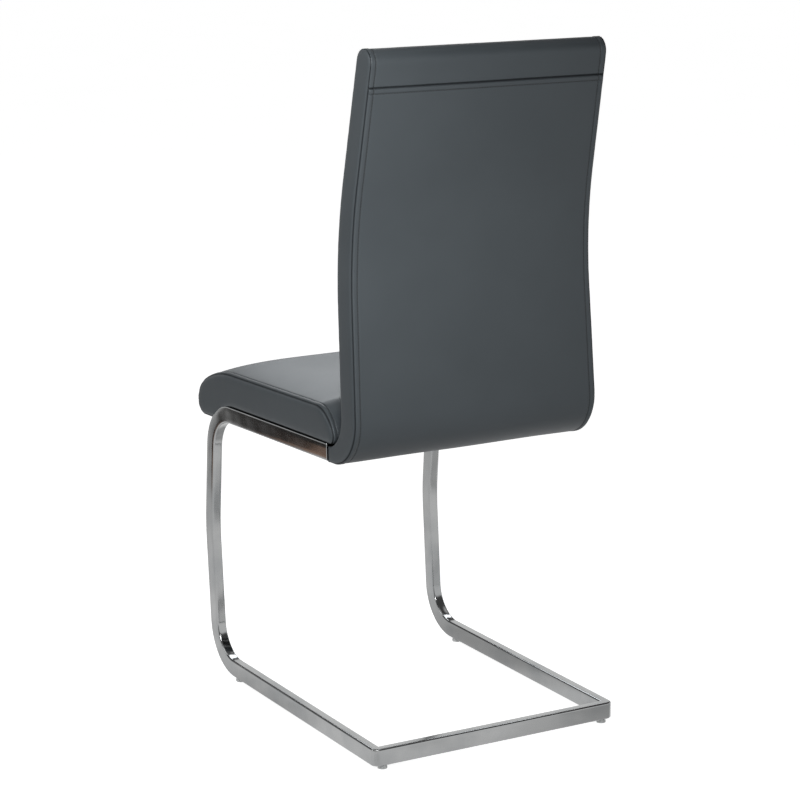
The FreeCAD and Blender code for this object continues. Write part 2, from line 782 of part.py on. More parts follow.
def screw_holes(z):
    reach = back_thickness / 2
    holes = [rod_back(side * panel_screw_x, -reach, reach, panel_screw + 2 * thread_gap) for side in (-1, 1)]
    return [slab_place(hole, z, lean_at(z)) for hole in holes]


def slab_sheet(thickness, low_z, high_z, room=0.0):
    """A sheet that follows the middle of the slab between two heights."""
    mid_lip = rail_point(0, tube_depth + lip_drop - lip_thickness / 2)
    rear = back_route(thickness / 2, post_heel_radius, mid_lip)
    front = back_route(-thickness / 2, post_heel_radius, mid_lip)
    rear_lines, front_lines = rear[2:], front[2:]
    outline = rear_lines + [(rear_lines[-1][-1], front_lines[-1][-1])]
    outline += [tuple(reversed(piece)) for piece in reversed(front_lines)]
    outline += [(outline[-1][-1], rear_lines[0][0])]
    sheet = Part.Face(wire_at(outline, lambda z: -half_base)).extrude(V(base_width, 0, 0))
    return sheet.common(box(-half_base, half_base, 0, overall_depth, low_z - room, high_z + room))


def back_panel():
    panel = slab_sheet(panel_thickness, panel_low_z, panel_high_z).common(between_posts())
    for name in screwed_rails:
        for hole in screw_holes(back_rail_heights[name]):
            panel = panel.cut(hole)
    return panel


def panel_screws():
    """Round-headed screws through the panel into the back rails."""
    front = -panel_thickness / 2
    screws = []
    for name in screwed_rails:
        z = back_rail_heights[name]
        for side in (-1, 1):
            x = side * panel_screw_x
            tip = -front + back_rail_thickness + panel_screw_tip
            shank = rod_back(x, front, tip, panel_screw)
            head = rod_back(x, front - panel_screw_head_height, front, panel_screw_head)
            screws.append(slab_place(head.fuse(shank), z, lean_at(z)))
    return Part.makeCompound(screws)


def back_foams():
    """Two foam pads, glued together round the steel frame and the panel."""
    block = back_body(skin + foam_gap, skin + foam_gap)
    groove = post_groove()
    block = block.cut(groove).cut(mirrored(groove))
    block = block.cut(slab_sheet(panel_thickness + 2 * foam_gap, panel_low_z, panel_high_z, foam_gap))
    low = panel_thickness / 2
    for name, z in back_rail_heights.items():
        half = back_rail_height / 2 + foam_gap
        high = low + back_rail_thickness + panel_screw_tip + foam_gap
        room = box(-half_base, half_base, -low, high, -half, half)
        block = block.cut(slab_place(room, z, lean_at(z)))
        for side in (-1, 1) if name in screwed_rails else ():
            cap = rod_back(side * panel_screw_x, -low - panel_screw_head_height - foam_gap, 0,
                           panel_screw_head + 2 * foam_gap)
            block = block.cut(slab_place(cap, z, lean_at(z)))
    front = front_region(False)
    return {"back_front_foam": block.common(front), "back_rear_foam": block.cut(front)}


def back_set_screws():
    """One headless screw up through each seat rail into the post's spigot, flush with the rail."""
    low = -tube_depth
    screws = []
    for side in (-1, 1):
        x = side * tube_x
        socket = hexagon(x, set_screw_y(), low - cut_past, low + set_screw_socket, set_screw_socket)
        screws.append(rod(x, set_screw_y(), low, low + set_screw_length, bolt_diameter).cut(socket))
    return on_rails(Part.makeCompound(screws))


def build():
    os.makedirs("parts", exist_ok=True)
    save("left_side_tube", side_tube(1))
    save("right_side_tube", side_tube(-1))
    save("rear_floor_bar", rear_floor_bar())
    save("front_glides", glide_pair(tube_x, front_glide_y))
    save("rear_glides", glide_pair(half_base - rear_glide_inset, rear_y - tube_width / 2))
    save("front_seat_crossbar", crossbar(front_crossbar_y))
    save("rear_seat_crossbar", crossbar(rear_crossbar_y))
    for pieces in (seat_pieces(), {"seat_dust_cover": dust_cover()}, seat_fasteners()):
        for name, shape in pieces.items():
            save(name, shape)
    post = left_back_post()
    save("left_back_post", post)
    save("right_back_post", mirrored(post))
    for name, z in back_rail_heights.items():
        save(name, back_rail(name, z))
    save("back_panel", back_panel())
    save("back_panel_screws", panel_screws())
    for pieces in (back_foams(), back_covers()):
        for name, shape in pieces.items():
            save(name, shape)
    save("back_set_screws", back_set_screws())


build()
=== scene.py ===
import json
import math

import bmesh
import bpy
import numpy as np
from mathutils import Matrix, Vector, noise


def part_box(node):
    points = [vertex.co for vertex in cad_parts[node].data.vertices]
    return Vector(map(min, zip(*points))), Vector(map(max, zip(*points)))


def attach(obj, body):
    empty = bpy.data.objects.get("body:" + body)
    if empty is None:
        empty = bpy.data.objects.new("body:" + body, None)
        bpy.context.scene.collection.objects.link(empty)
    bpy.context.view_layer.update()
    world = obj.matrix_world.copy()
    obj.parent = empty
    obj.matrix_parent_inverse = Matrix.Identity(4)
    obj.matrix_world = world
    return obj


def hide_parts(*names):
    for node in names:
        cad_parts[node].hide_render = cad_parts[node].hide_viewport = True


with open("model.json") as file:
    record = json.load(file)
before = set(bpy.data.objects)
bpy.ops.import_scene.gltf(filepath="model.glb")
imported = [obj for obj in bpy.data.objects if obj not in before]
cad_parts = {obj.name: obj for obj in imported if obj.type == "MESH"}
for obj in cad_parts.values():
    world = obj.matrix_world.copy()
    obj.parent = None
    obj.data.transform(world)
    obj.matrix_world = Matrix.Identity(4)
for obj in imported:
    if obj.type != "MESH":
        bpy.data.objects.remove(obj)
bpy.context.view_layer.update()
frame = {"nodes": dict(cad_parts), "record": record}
nodes = frame["nodes"]
scene = bpy.context.scene
print("frame loaded,", len(nodes), "nodes")


# Node trees

class Signal:  # one output socket, which can be used in sums
    def __init__(self, maker, socket):
        self.maker = maker
        self.socket = socket

    def mathNode(self, operation, first, second):
        return self.maker.node("ShaderNodeMath", {"operation": operation}, {0: first, 1: second})

    def __add__(self, other):
        return self.mathNode("ADD", self, other)

    def __radd__(self, other):
        return self.mathNode("ADD", other, self)

    def __sub__(self, other):
        return self.mathNode("SUBTRACT", self, other)

    def __rsub__(self, other):
        return self.mathNode("SUBTRACT", other, self)

    def __mul__(self, other):
        return self.mathNode("MULTIPLY", self, other)


class NodeMaker:  # adds nodes to one tree
    def __init__(self, tree):
        self.tree = tree

    def node(self, kind, settings=None, values=None, out=0):
        made = self.tree.nodes.new(kind)
        for name, value in (settings or {}).items():
            if name == "stops":
                self.setStops(made.color_ramp, value)
            else:
                setattr(made, name, value)
        for key, value in (values or {}).items():
            if isinstance(value, Signal):
                self.tree.links.new(value.socket, made.inputs[key])
            else:
                made.inputs[key].default_value = value
        return Signal(self, made.outputs[out]) if len(made.outputs) else made

    def setStops(self, ramp, stops):
        while len(ramp.elements) < len(stops):
            ramp.elements.new(0.5)
        for element, (place, grey) in zip(ramp.elements, stops):
            element.position = place
            element.color = (grey, grey, grey, 1)

    def blend(self, share, first, second):
        return self.node("ShaderNodeMix", {"data_type": "RGBA"}, {0: share, 6: first, 7: second}, out=2)


def rgb(red, green, blue):
    return (red, green, blue, 1.0)


def newMaterial(name):
    material = bpy.data.materials.new(name)
    material.use_nodes = True
    material.node_tree.nodes.clear()
    maker = NodeMaker(material.node_tree)
    place = maker.node("ShaderNodeTexCoord", out="Object")
    return material, maker, place


def finishMaterial(maker, values):
    shader = maker.node("ShaderNodeBsdfPrincipled", None, values)
    maker.node("ShaderNodeOutputMaterial", None, {"Surface": shader})


def noiseAt(maker, place, scale, detail=2.0, stretch=None):
    if stretch:
        place = maker.node("ShaderNodeMapping", None, {"Vector": place, "Scale": stretch})
    return maker.node("ShaderNodeTexNoise", None, {"Vector": place, "Scale": scale, "Detail": detail})


def ramp(maker, signal, *stops):
    return maker.node("ShaderNodeValToRGB", {"stops": stops}, {"Fac": signal})


def bump(maker, height, strength, distance):
    return maker.node("ShaderNodeBump", None, {"Height": height, "Strength": strength, "Distance": distance})


leatherLook = {
    "base": rgb(0.046, 0.054, 0.0600),
    "light": rgb(0.054, 0.0630, 0.0695),
    "sheen": rgb(0.88, 0.95, 1.0),
    # painted shade: the next two values are the dark matte colour laid into the seam grooves and stitch lines, and
    # how much of it
    "gap": rgb(0.008, 0.009, 0.010),
    "gapDepth": 0.88,
    "cloudScale": 7.0,
    "roughness": 0.43,
    "ior": 1.47,
    "grainScale": 750.0,
    "grainStrength": 0.10,
}


def makeLeather():
    look = leatherLook
    material, maker, place = newMaterial("leather")
    cloud = ramp(maker, noiseAt(maker, place, look["cloudScale"], 3.0), (0.3, 0.0), (0.7, 1.0))
    crease = maker.node("ShaderNodeAttribute", {"attribute_name": "crease"}, None, out="Fac")
    colour = maker.blend(cloud, look["base"], look["light"])
    cells = maker.node("ShaderNodeTexVoronoi", None, {"Vector": place, "Scale": look["grainScale"]}, out="Distance")
    pores = noiseAt(maker, place, look["grainScale"] * 1.7, 1.0)
    grain = bump(maker, cells + pores * 0.6, look["grainStrength"], 0.0004)
    skin = maker.node("ShaderNodeBsdfPrincipled", None, {
        "Base Color": colour,
        "Roughness": cloud * 0.05 + look["roughness"],
        "Normal": grain,
        "IOR": look["ior"],
        "Specular Tint": look["sheen"],
    })
    # painted shade: a dark matte shader mixed in along the seam grooves and stitch lines, by the mesh attribute that
    # marks them
    gap = maker.node("ShaderNodeBsdfDiffuse", None, {"Color": look["gap"]})
    both = maker.node("ShaderNodeMixShader", None, {0: crease * look["gapDepth"], 1: skin, 2: gap})
    maker.node("ShaderNodeOutputMaterial", None, {"Surface": both})
    return material


threadLook = {"dark": rgb(0.020, 0.022, 0.024), "light": rgb(0.045, 0.049, 0.052), "twistScale": 1500.0}


def makeThread():
    look = threadLook
    material, maker, place = newMaterial("thread")
    twist = noiseAt(maker, place, look["twistScale"], 1.0)
    finishMaterial(maker, {
        "Base Color": maker.blend(twist, look["dark"], look["light"]),
        "Roughness": twist * 0.2 + 0.45,
    })
    return material


chromeLook = {
    "clear": rgb(0.44, 0.445, 0.445),
    "dull": rgb(0.37, 0.38, 0.385),
    "roughness": 0.09,
    "patchScale": 16.0,
    "smearScale": 60.0,
    "waves": 0.5,
    "waveScale": 22.0,
}


def makeChrome():
    look = chromeLook
    material, maker, place = newMaterial("chrome")
    patches = ramp(maker, noiseAt(maker, place, look["patchScale"], 4.0), (0.42, 0.0), (0.68, 1.0))
    smear = noiseAt(maker, place, look["smearScale"], 3.0)
    wave = bump(maker, noiseAt(maker, place, look["waveScale"], 1.0), look["waves"], 0.0006)
    finishMaterial(maker, {
        "Base Color": maker.blend(patches, look["clear"], look["dull"]),
        "Metallic": 1.0,
        "Roughness": smear * 0.05 + (look["roughness"] + patches * 0.04),
        "Normal": wave,
    })
    return material


def makePlainMetal(name, first, second, roughness, scale, metallic):
    material, maker, place = newMaterial(name)
    spots = noiseAt(maker, place, scale, 3.0)
    finishMaterial(maker, {
        "Base Color": maker.blend(spots, first, second),
        "Metallic": metallic,
        "Roughness": spots * 0.15 + roughness,
        "Normal": bump(maker, noiseAt(maker, place, scale * 6.0, 2.0), 0.15, 0.0003),
    })
    return material


plywoodLook = {
    "early": rgb(0.50, 0.34, 0.19),
    "late": rgb(0.66, 0.50, 0.31),
    "glueLine": rgb(0.36, 0.23, 0.12),
    "grainScale": 40.0,
    "plyScale": 130.0,
}


def makePlywood():
    look = plywoodLook
    material, maker, place = newMaterial("plywood")
    grain = noiseAt(maker, place, look["grainScale"], 5.0, (1.0, 0.06, 1.0))
    plies = maker.node("ShaderNodeTexWave", {"bands_direction": "Z"}, {"Vector": place, "Scale": look["plyScale"]})
    colour = maker.blend(grain, look["early"], look["late"])
    finishMaterial(maker, {
        "Base Color": maker.blend(ramp(maker, plies, (0.6, 0.0), (1.0, 0.35)), colour, look["glueLine"]),
        "Roughness": grain * 0.2 + 0.55,
        "Normal": bump(maker, grain, 0.2, 0.0005),
    })
    return material


def makeCloth(name, first, second, scale):
    material, maker, place = newMaterial(name)
    fibres = noiseAt(maker, place, scale, 4.0)
    knots = maker.node("ShaderNodeTexVoronoi", None, {"Vector": place, "Scale": scale * 0.8}, out="Distance")
    finishMaterial(maker, {
        "Base Color": maker.blend(fibres, first, second),
        "Roughness": fibres * 0.1 + 0.85,
        "Normal": bump(maker, fibres + knots, 0.4, 0.0004),
    })
    return material


glideLook = {"dull": rgb(0.66, 0.68, 0.68), "clear": rgb(0.80, 0.82, 0.82), "hazeScale": 180.0, "milkiness": 0.25}


def makeGlidePlastic():
    look = glideLook
    material, maker, place = newMaterial("glidePlastic")
    haze = noiseAt(maker, place, look["hazeScale"], 2.0)
    finishMaterial(maker, {
        "Base Color": maker.blend(haze, look["dull"], look["clear"]),
        "Roughness": haze * 0.15 + 0.28,
        "Transmission Weight": look["milkiness"],
    })
    return material


looks = {
    "leather": makeLeather(),
    "thread": makeThread(),
    "chrome": makeChrome(),
    "plywood": makePlywood(),
    "foam": makeCloth("foam", rgb(0.70, 0.64, 0.48), rgb(0.80, 0.75, 0.60), 500.0),
    "dust_cloth": makeCloth("dustCloth", rgb(0.012, 0.012, 0.013), rgb(0.030, 0.030, 0.032), 700.0),
    "inner_steel": makePlainMetal("innerSteel", rgb(0.02, 0.02, 0.021), rgb(0.03, 0.03, 0.031), 0.35, 200.0, 0.0),
    "zinc_steel": makePlainMetal("zincSteel", rgb(0.52, 0.52, 0.49), rgb(0.62, 0.62, 0.60), 0.25, 120.0, 1.0),
    "glide_plastic": makeGlidePlastic(),
}
for subpart in frame["record"]["subparts"]:
    nodes[subpart["node"]].data.materials.clear()
    nodes[subpart["node"]].data.materials.append(looks[subpart["material_slot"]])
print("materials made")


# Pieces

def addPiece(name, vertices, faces, slot, crease=None):
    mesh = bpy.data.meshes.new(name)
    mesh.from_pydata([tuple(v) for v in vertices], [], faces)
    mesh.validate()
    # the painted seam shade goes on as a point attribute for the leather
    if crease is not None:
        mesh.attributes.new("crease", "FLOAT", "POINT").data.foreach_set("value", np.asarray(crease, np.float32))
    closed = bmesh.new()
    closed.from_mesh(mesh)
    bmesh.ops.recalc_face_normals(closed, faces=closed.faces)
    closed.to_mesh(mesh)
    closed.free()
    mesh.shade_smooth()
    mesh.materials.append(looks[slot])
    piece = bpy.data.objects.new(name, mesh)
    scene.collection.objects.link(piece)
    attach(piece, "root")
    return piece


# The frame tube. All sizes are in metres and degrees; the chair faces -Y and its left side is +X.
tube = {
    "depthOfChair": 0.553,
    "widthOfChair": 0.400,
    "width": 0.015,
    "depth": 0.025,
    "wall": 0.0015,
    "corner": 0.0025,
    "bendRadius": 0.065,
    "legLean": 4.65,
    "bowHeight": 0.229,
    "bowRadius": 0.300,
    "legFrontY": -0.2537,
    "railRise": 2.15,
    "railTop": 0.434,
    "railEndY": 0.143,
    "floorGap": 0.0053,
    "mitreCorner": 0.011,
    "bendDip": 0.0009,
    "bendSwell": 0.03,
    "mitreStep": 5,
    "barRings": 7,
    "barRingGap": 0.024,
}

rise = math.radians(tube["railRise"])


# Lines and arcs in the side view, as (y, z)

def headingOf(start, end):
    return math.atan2(end[1] - start[1], end[0] - start[0])


def toward(start, end, distance):
    heading = headingOf(start, end)
    return (start[0] + distance * math.cos(heading), start[1] + distance * math.sin(heading))


def meet(pointA, headingA, pointB, headingB):
    ca, sa = math.cos(headingA), math.sin(headingA)
    cb, sb = math.cos(headingB), math.sin(headingB)
    t = ((pointB[0] - pointA[0]) * sb - (pointB[1] - pointA[1]) * cb) / (ca * sb - sa * cb)
    return (pointA[0] + t * ca, pointA[1] + t * sa)


def straightStations(start, end, step):
    count = max(1, math.ceil(math.dist(start, end) / step))
    heading = headingOf(start, end)
    return [(start[0] + (end[0] - start[0]) * i / count, start[1] + (end[1] - start[1]) * i / count, heading, 0.0)
            for i in range(1, count)]


def roundedRoute(points, radii, arcStep=math.radians(2.5), lineStep=0.012):
    # rows of y, z, heading, and how deep in a tight bend the row lies, signed by the way it turns
    here = points[0]
    stations = [(here[0], here[1], headingOf(here, points[1]), 0.0)]
    for i, radius in enumerate(radii):
        before, corner, after = points[i:i + 3]
        headIn, headOut = headingOf(before, corner), headingOf(corner, after)
        turn = (headOut - headIn + math.pi) % (2 * math.pi) - math.pi
        side = math.copysign(1.0, turn)
        reach = radius * math.tan(abs(turn) / 2)
        first = toward(corner, before, reach)
        stations += straightStations(here, first, lineStep)
        centre = (first[0] - side * radius * math.sin(headIn), first[1] + side * radius * math.cos(headIn))
        count = math.ceil(abs(turn) / arcStep)
        tightBend = side if radius < 0.1 else 0.0
        for k in range(count + 1):
            heading = headIn + turn * k / count
            y = centre[0] + side * radius * math.sin(heading)
            z = centre[1] - side * radius * math.cos(heading)
            stations.append((y, z, heading, tightBend * math.sin(math.pi * k / count) ** 2))
        here = toward(corner, after, reach)
    stations += straightStations(here, points[-1], lineStep)
    stations.append((points[-1][0], points[-1][1], headingOf(here, points[-1]), 0.0))
    return stations


def arcPoints(centre, radius, start, end, step=1.5):
    count = max(2, math.ceil(abs(end - start) / step))
    angles = [math.radians(start + (end - start) * i / count) for i in range(count + 1)]
    return [(centre[0] + radius * math.cos(a), centre[1] + radius * math.sin(a)) for a in angles]


def railPoint(y, belowTop):
    return (y, tube["railTop"] + y * math.tan(rise) - belowTop / math.cos(rise))


def onRails(y, z):
    return (y * math.cos(rise) - z * math.sin(rise), y * math.sin(rise) + z * math.cos(rise) + tube["railTop"])


# Frame: two bent side tubes and the bar between them

def legLines():
    # half the tube's depth, the leg's lean, and the corners of its centre line at the bow and under the seat
    half, lean = tube["depth"] / 2, math.radians(tube["legLean"])
    bow = (tube["legFrontY"] + half / math.cos(lean), tube["bowHeight"])
    return half, lean, bow, meet(railPoint(0, half), rise, bow, math.pi / 2 - lean)


def tubeStations():
    half, lean, bow, top = legLines()
    floor = (0, tube["floorGap"] + half)
    low = meet(floor, 0, bow, math.pi / 2 + lean)
    rear = tube["depthOfChair"] / 2 - 3 * tube["width"]
    points = [railPoint(tube["railEndY"], half), top, bow, low, (rear, floor[1])]
    stations = roundedRoute(points, [tube["bendRadius"], tube["bowRadius"], tube["bendRadius"]])
    nearEnd = toward(points[0], points[1], 0.0004)  # keeps the shading of the cut end off the rail's side
    stations.insert(1, (*nearEnd, stations[0][2], 0.0))
    return stations


def tubeSection(width, depth, radius, steps=6, flats=4):
    loop = []
    for quarter, (side, end) in enumerate(((1, 1), (-1, 1), (-1, -1), (1, -1))):
        for i in range(steps + 1):
            a = math.pi / 2 * (quarter + i / steps)
            loop.append((side * (width / 2 - radius) + radius * math.cos(a),
                         end * (depth / 2 - radius) + radius * math.sin(a)))
        nextSide, nextEnd = ((-1, 1), (-1, -1), (1, -1), (1, 1))[quarter]
        goal = (nextSide * (width / 2 - (radius if quarter % 2 == 0 else 0)),
                nextEnd * (depth / 2 - (0 if quarter % 2 == 0 else radius)))
        start = loop[-1]
        for i in range(1, flats):
            loop.append(tuple(start[k] + (goal[k] - start[k]) * i / flats for k in (0, 1)))
    return loop


def wallSections():
    # the section's outer loop, then its bore
    for thinner in (0.0, tube["wall"]):
        yield tubeSection(tube["width"] - 2 * thinner, tube["depth"] - 2 * thinner, tube["corner"] - thinner)


def mitrePoint(inFromOuter, angle):
    # a point of the rounded rear corner, in plan, for a line that runs this far inside the outer face
    r = max(tube["mitreCorner"] - inFromOuter, 0.0004)
    a = math.radians(angle)
    halfBase, rearY = tube["widthOfChair"] / 2, tube["depthOfChair"] / 2
    return (halfBase - inFromOuter - r + r * math.cos(a), rearY - inFromOuter - r + r * math.sin(a))


def ringsToPiece(name, outerRings, innerRings, node):
    count = len(outerRings[0])
    rings = outerRings + innerRings[::-1]
    vertices = [v for ring in rings for v in ring]
    faces = []
    for r in range(len(rings)):
        a, b = r * count, (r + 1) % len(rings) * count
        faces += [(a + i, a + (i + 1) % count, b + (i + 1) % count, b + i) for i in range(count)]
    piece = addPiece(name, vertices, faces, "chrome")
    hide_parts(node)


def sideTube(name, side, node):
    halfBase, tubeX = tube["widthOfChair"] / 2, (tube["widthOfChair"] - tube["width"]) / 2
    floorZ, dipsFrom = tube["floorGap"] + tube["depth"] / 2, 0.3 * tube["depth"]
    ringSets = []
    for section in wallSections():
        rings = []
        for y, z, heading, inBend in tubeStations():
            ring = []
            for u, v in section:
                if v > dipsFrom:
                    v -= tube["bendDip"] * inBend * (1 - (2 * u / tube["width"]) ** 2)
                u *= 1 + tube["bendSwell"] * abs(inBend) * (1 - (2 * v / tube["depth"]) ** 2)
                ring.append((side * (tubeX + u), y - v * math.sin(heading), z + v * math.cos(heading)))
            rings.append(ring)
        for angle in range(0, 46, tube["mitreStep"]):
            plan = [mitrePoint(halfBase - tubeX - u, angle) for u, v in section]
            rings.append([(side * x, y, floorZ + v) for (x, y), (u, v) in zip(plan, section)])
        ringSets.append(rings)
    ringsToPiece(name, *ringSets, node)


def rearBar():
    floorZ = tube["floorGap"] + tube["depth"] / 2
    y = (tube["depthOfChair"] - tube["width"]) / 2
    count = tube["barRings"]
    ringSets = []
    for section in wallSections():
        corner = [[mitrePoint(tube["width"] / 2 - u, angle) for u, v in section]
                  for angle in range(45, 91, tube["mitreStep"])]
        left = [[(x, y, floorZ + v) for (x, y), (u, v) in zip(ring, section)] for ring in corner]
        middle = [[(-i * tube["barRingGap"], y + u, floorZ + v) for u, v in section]
                  for i in range(-count, count + 1)]
        right = [[(-x, y, z) for x, y, z in ring] for ring in left[::-1]]
        ringSets.append(left + middle + right)
    ringsToPiece("rearFloorBar", *ringSets, "rear_floor_bar")


sideTube("leftSideTube", 1, "left_side_tube")
sideTube("rightSideTube", -1, "right_side_tube")
rearBar()

glide = {"frontX": 0.1925, "frontY": -0.155, "rearX": 0.183, "rearY": 0.269, "segments": 36}
glideProfile = ((0.0, 0.0), (0.0056, 0.0), (0.0066, 0.0003), (0.0070, 0.0011), (0.0068, 0.0030), (0.0063, 0.0044),
                (0.0060, 0.0053), (0.0026, 0.0053), (0.0025, 0.0131), (0.0, 0.0133))


def glidePair(name, x, y, node):
    vertices, faces = [], []
    count = glide["segments"]
    for side in (-1, 1):
        first = len(vertices)
        vertices.append((side * x, y, glideProfile[0][1]))
        for radius, z in glideProfile[1:-1]:
            for i in range(count):
                a = 2 * math.pi * i / count
                vertices.append((side * x + radius * math.cos(a), y + radius * math.sin(a), z))
        vertices.append((side * x, y, glideProfile[-1][1]))
        last = len(vertices) - 1
        rows = len(glideProfile) - 2
        for i in range(count):
            j = (i + 1) % count
            faces.append((first, first + 1 + j, first + 1 + i))
            faces.append((last, last - count + i, last - count + j))
            for row in range(rows - 1):
                a = first + 1 + row * count
                faces.append((a + i, a + j, a + count + j, a + count + i))
    piece = addPiece(name, vertices, faces, "glide_plastic")
    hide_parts(node)


glidePair("frontGlides", glide["frontX"], glide["frontY"], "front_glides")
glidePair("rearGlides", glide["rearX"], glide["rearY"], "rear_glides")
print("frame tubes and glides made")


# Cushions: a side outline in two chains, wrapped across the width and closed by two side panels

seat = {
    "halfWidth": 0.198,
    "height": 0.050,
    "crown": 0.0125,
    "noseCrown": 0.004,
    "noseReach": 0.100,
    "noseY": -0.2725,
    "noseDrop": 0.025,
    "footRadius": 0.019,
    "browRadius": 0.040,
    "browTurn": 65.0,
    "rearY": 0.161,
    "rearFoot": 0.010,
    "board": 0.012,
    "legClearance": 0.0006,
    "dome": 0.0025,
    "stitchAt": 0.0075,
    "crownPower": 4.0,
    "betweenRails": 0.1845,
    "behindLegs": -0.17,
    "onBoard": -0.00005,
}

back = {
    "halfWidthLow": 0.1975,
    "halfWidthHigh": 0.1865,
    "lowZ": 0.420,
    "highZ": 0.945,
    "top": 0.991,
    "thickness": 0.040,
    "lumbarY": 0.1782,
    "lumbarZ": 0.7246,
    "lumbarRadius": 0.600,
    "upperLean": 11.5,
    "lowerLean": 5.0,
    "heelRadius": 0.0655,
    "lipThickness": 0.022,
    "lipInnerRadius": 0.045,
    "lipDrop": 0.0016,
    "lipGap": 0.0003,
    "frontCrown": 0.006,
    "rearCrown": 0.0035,
    "crownLowZ": 0.500,
    "bandZ": 0.9385,
    "bandStitch": 0.008,
    "dome": 0.0018,
    "stitchAt": 0.009,
    "crownPower": 4.0,
    "lipTaper": 0.008,
}

# How the leather stands out and sinks in beside a seam, and where the painted shade lies in its groove and stitch
# lines
seam = {
    "groove": 0.0014,
    "grooveWidth": 0.0013,
    "ridge": 0.00055,
    "ridgeFrom": 0.0010,
    "ridgeRise": 0.0012,
    "ridgeBeforeStitch": 0.0006,
    "ridgeFall": 0.0014,
    "stitchSink": 0.0005,
    "stitchWidth": 0.0010,
    "tuck": 0.8,
    "tuckWidth": 0.0012,
    # painted shade: how wide it lies in the seam groove, and how dark and wide along the stitch lines
    "paintedShadeWidth": 0.0011,
    "stitchPaintedShade": 0.55,
    "stitchPaintedShadeWidth": 0.0009,
    "bandStitchPaintedShade": 0.45,
    "bandStitchPaintedShadeWidth": 0.0008,
    "bandFromSide": 0.002,
    "bandGrooveWidth": 0.0010,
    "pucker": 0.00028,
    "puckerReach": 0.014,
    "puckerLength": 0.013,
    "sag": 0.0007,
    "sagLength": 0.11,
    "sagFromSeam": 0.03,
}

sidePanel = {
    "steps": 14,
    "domeWidth": 0.0035,
    # painted shade: how wide it lies along the side panel's seam
    "paintedShadeWidth": 0.0012,
    "puckerReach": 0.008,
    "sag": 0.0004,
    "sagLength": 0.07,
    "sagFromSeam": 0.01,
}

# How finely the cushions are cut, and where the rows beside a seam and a stitch line lie
cushionGrid = {"along": 0.0042, "across": 0.009, "acrossAtZ": 0.7, "fine": 0.0007, "fineReach": 0.0125}
seamRows = (0, 0.0004, 0.0008, 0.0012, 0.0018, 0.0026, 0.0040)
stitchRows = (-0.0022, -0.0014, -0.0008, -0.0004, 0, 0.0004, 0.0008, 0.0014, 0.0024, 0.0045, 0.008)


def seatChains():
    half, lean, _, top = legLines()
    legRadius = tube["bendRadius"] + half + seat["legClearance"]
    turn = math.pi / 2 - lean - rise
    start = toward(top, railPoint(tube["railEndY"], half), tube["bendRadius"] * math.tan((math.pi - turn) / 2))
    legCentre = (start[0] * math.cos(rise) + (start[1] - tube["railTop"]) * math.sin(rise),
                 -half - tube["bendRadius"])
    noseZ = tube["railTop"] + seat["noseY"] * math.tan(rise) + seat["footRadius"] - seat["noseDrop"]
    nose = seat["noseY"] * math.cos(rise) + (noseZ - tube["railTop"]) * math.sin(rise)
    footZ = seat["footRadius"] - seat["noseDrop"]
    foot, brow = (nose + seat["footRadius"], footZ), (nose + seat["browRadius"], footZ)
    upper = arcPoints(brow, seat["browRadius"], 180, 180 - seat["browTurn"])
    slope = 90 - seat["browTurn"]
    blendRadius = (seat["height"] - upper[-1][1]) / (1 - math.cos(math.radians(slope)))
    blend = (upper[-1][0] + blendRadius * math.sin(math.radians(slope)), seat["height"] - blendRadius)
    upper += arcPoints(blend, blendRadius, 90 + slope, 90)[1:]
    roll = (seat["rearY"] - seat["height"], 0.0)
    footTurn = math.degrees(math.asin(seat["rearFoot"] / (seat["height"] - seat["rearFoot"])))
    upper += arcPoints(roll, seat["height"], 90, footTurn)
    heelReach = (seat["height"] - seat["rearFoot"]) * math.cos(math.radians(footTurn))
    heel = (roll[0] + heelReach, seat["rearFoot"])
    upper += [p for p in arcPoints(heel, seat["rearFoot"], footTurn, -90)[1:] if p[1] > seat["legClearance"]]
    end = (heel[0], seat["legClearance"])
    drop = math.degrees(math.asin((-seat["noseDrop"] - legCentre[1]) / legRadius))
    lower = arcPoints(foot, seat["footRadius"], 180, 270)
    lower += arcPoints(legCentre, legRadius, 180 - drop, 90)
    return np.array(upper + [end]), np.array(lower + [end])


def seatCrown(y, z, share):
    up = np.maximum(0.0, (z - seat["board"]) / (seat["height"] - seat["board"]))
    front = np.clip((seat["noseY"] + seat["noseReach"] - y) / seat["noseReach"], 0, 1)
    return y - seat["noseCrown"] * share * front, z + seat["crown"] * share * up


def backLine(offset, heelRadius, lipLine):
    up, down = math.radians(90 - back["upperLean"]), math.radians(90 + back["lowerLean"])
    middle = (back["lumbarY"], back["lumbarZ"])
    upper = (middle[0] + offset * math.sin(up), middle[1] - offset * math.cos(up))
    lower = (middle[0] + offset * math.sin(down), middle[1] - offset * math.cos(down))
    lumbar = meet(upper, up, lower, down)
    heel = meet(lipLine, rise, lower, down)
    top = meet(upper, up, (0, back["top"] - back["thickness"] / 2), 0)
    lipEnd = meet(lipLine, rise, railPoint(tube["railEndY"] + back["lipGap"], 0), rise + math.pi / 2)
    stations = roundedRoute([lipEnd, heel, lumbar, top], [heelRadius, back["lumbarRadius"] - offset], math.radians(1))
    return [(s[0], s[1]) for s in stations]


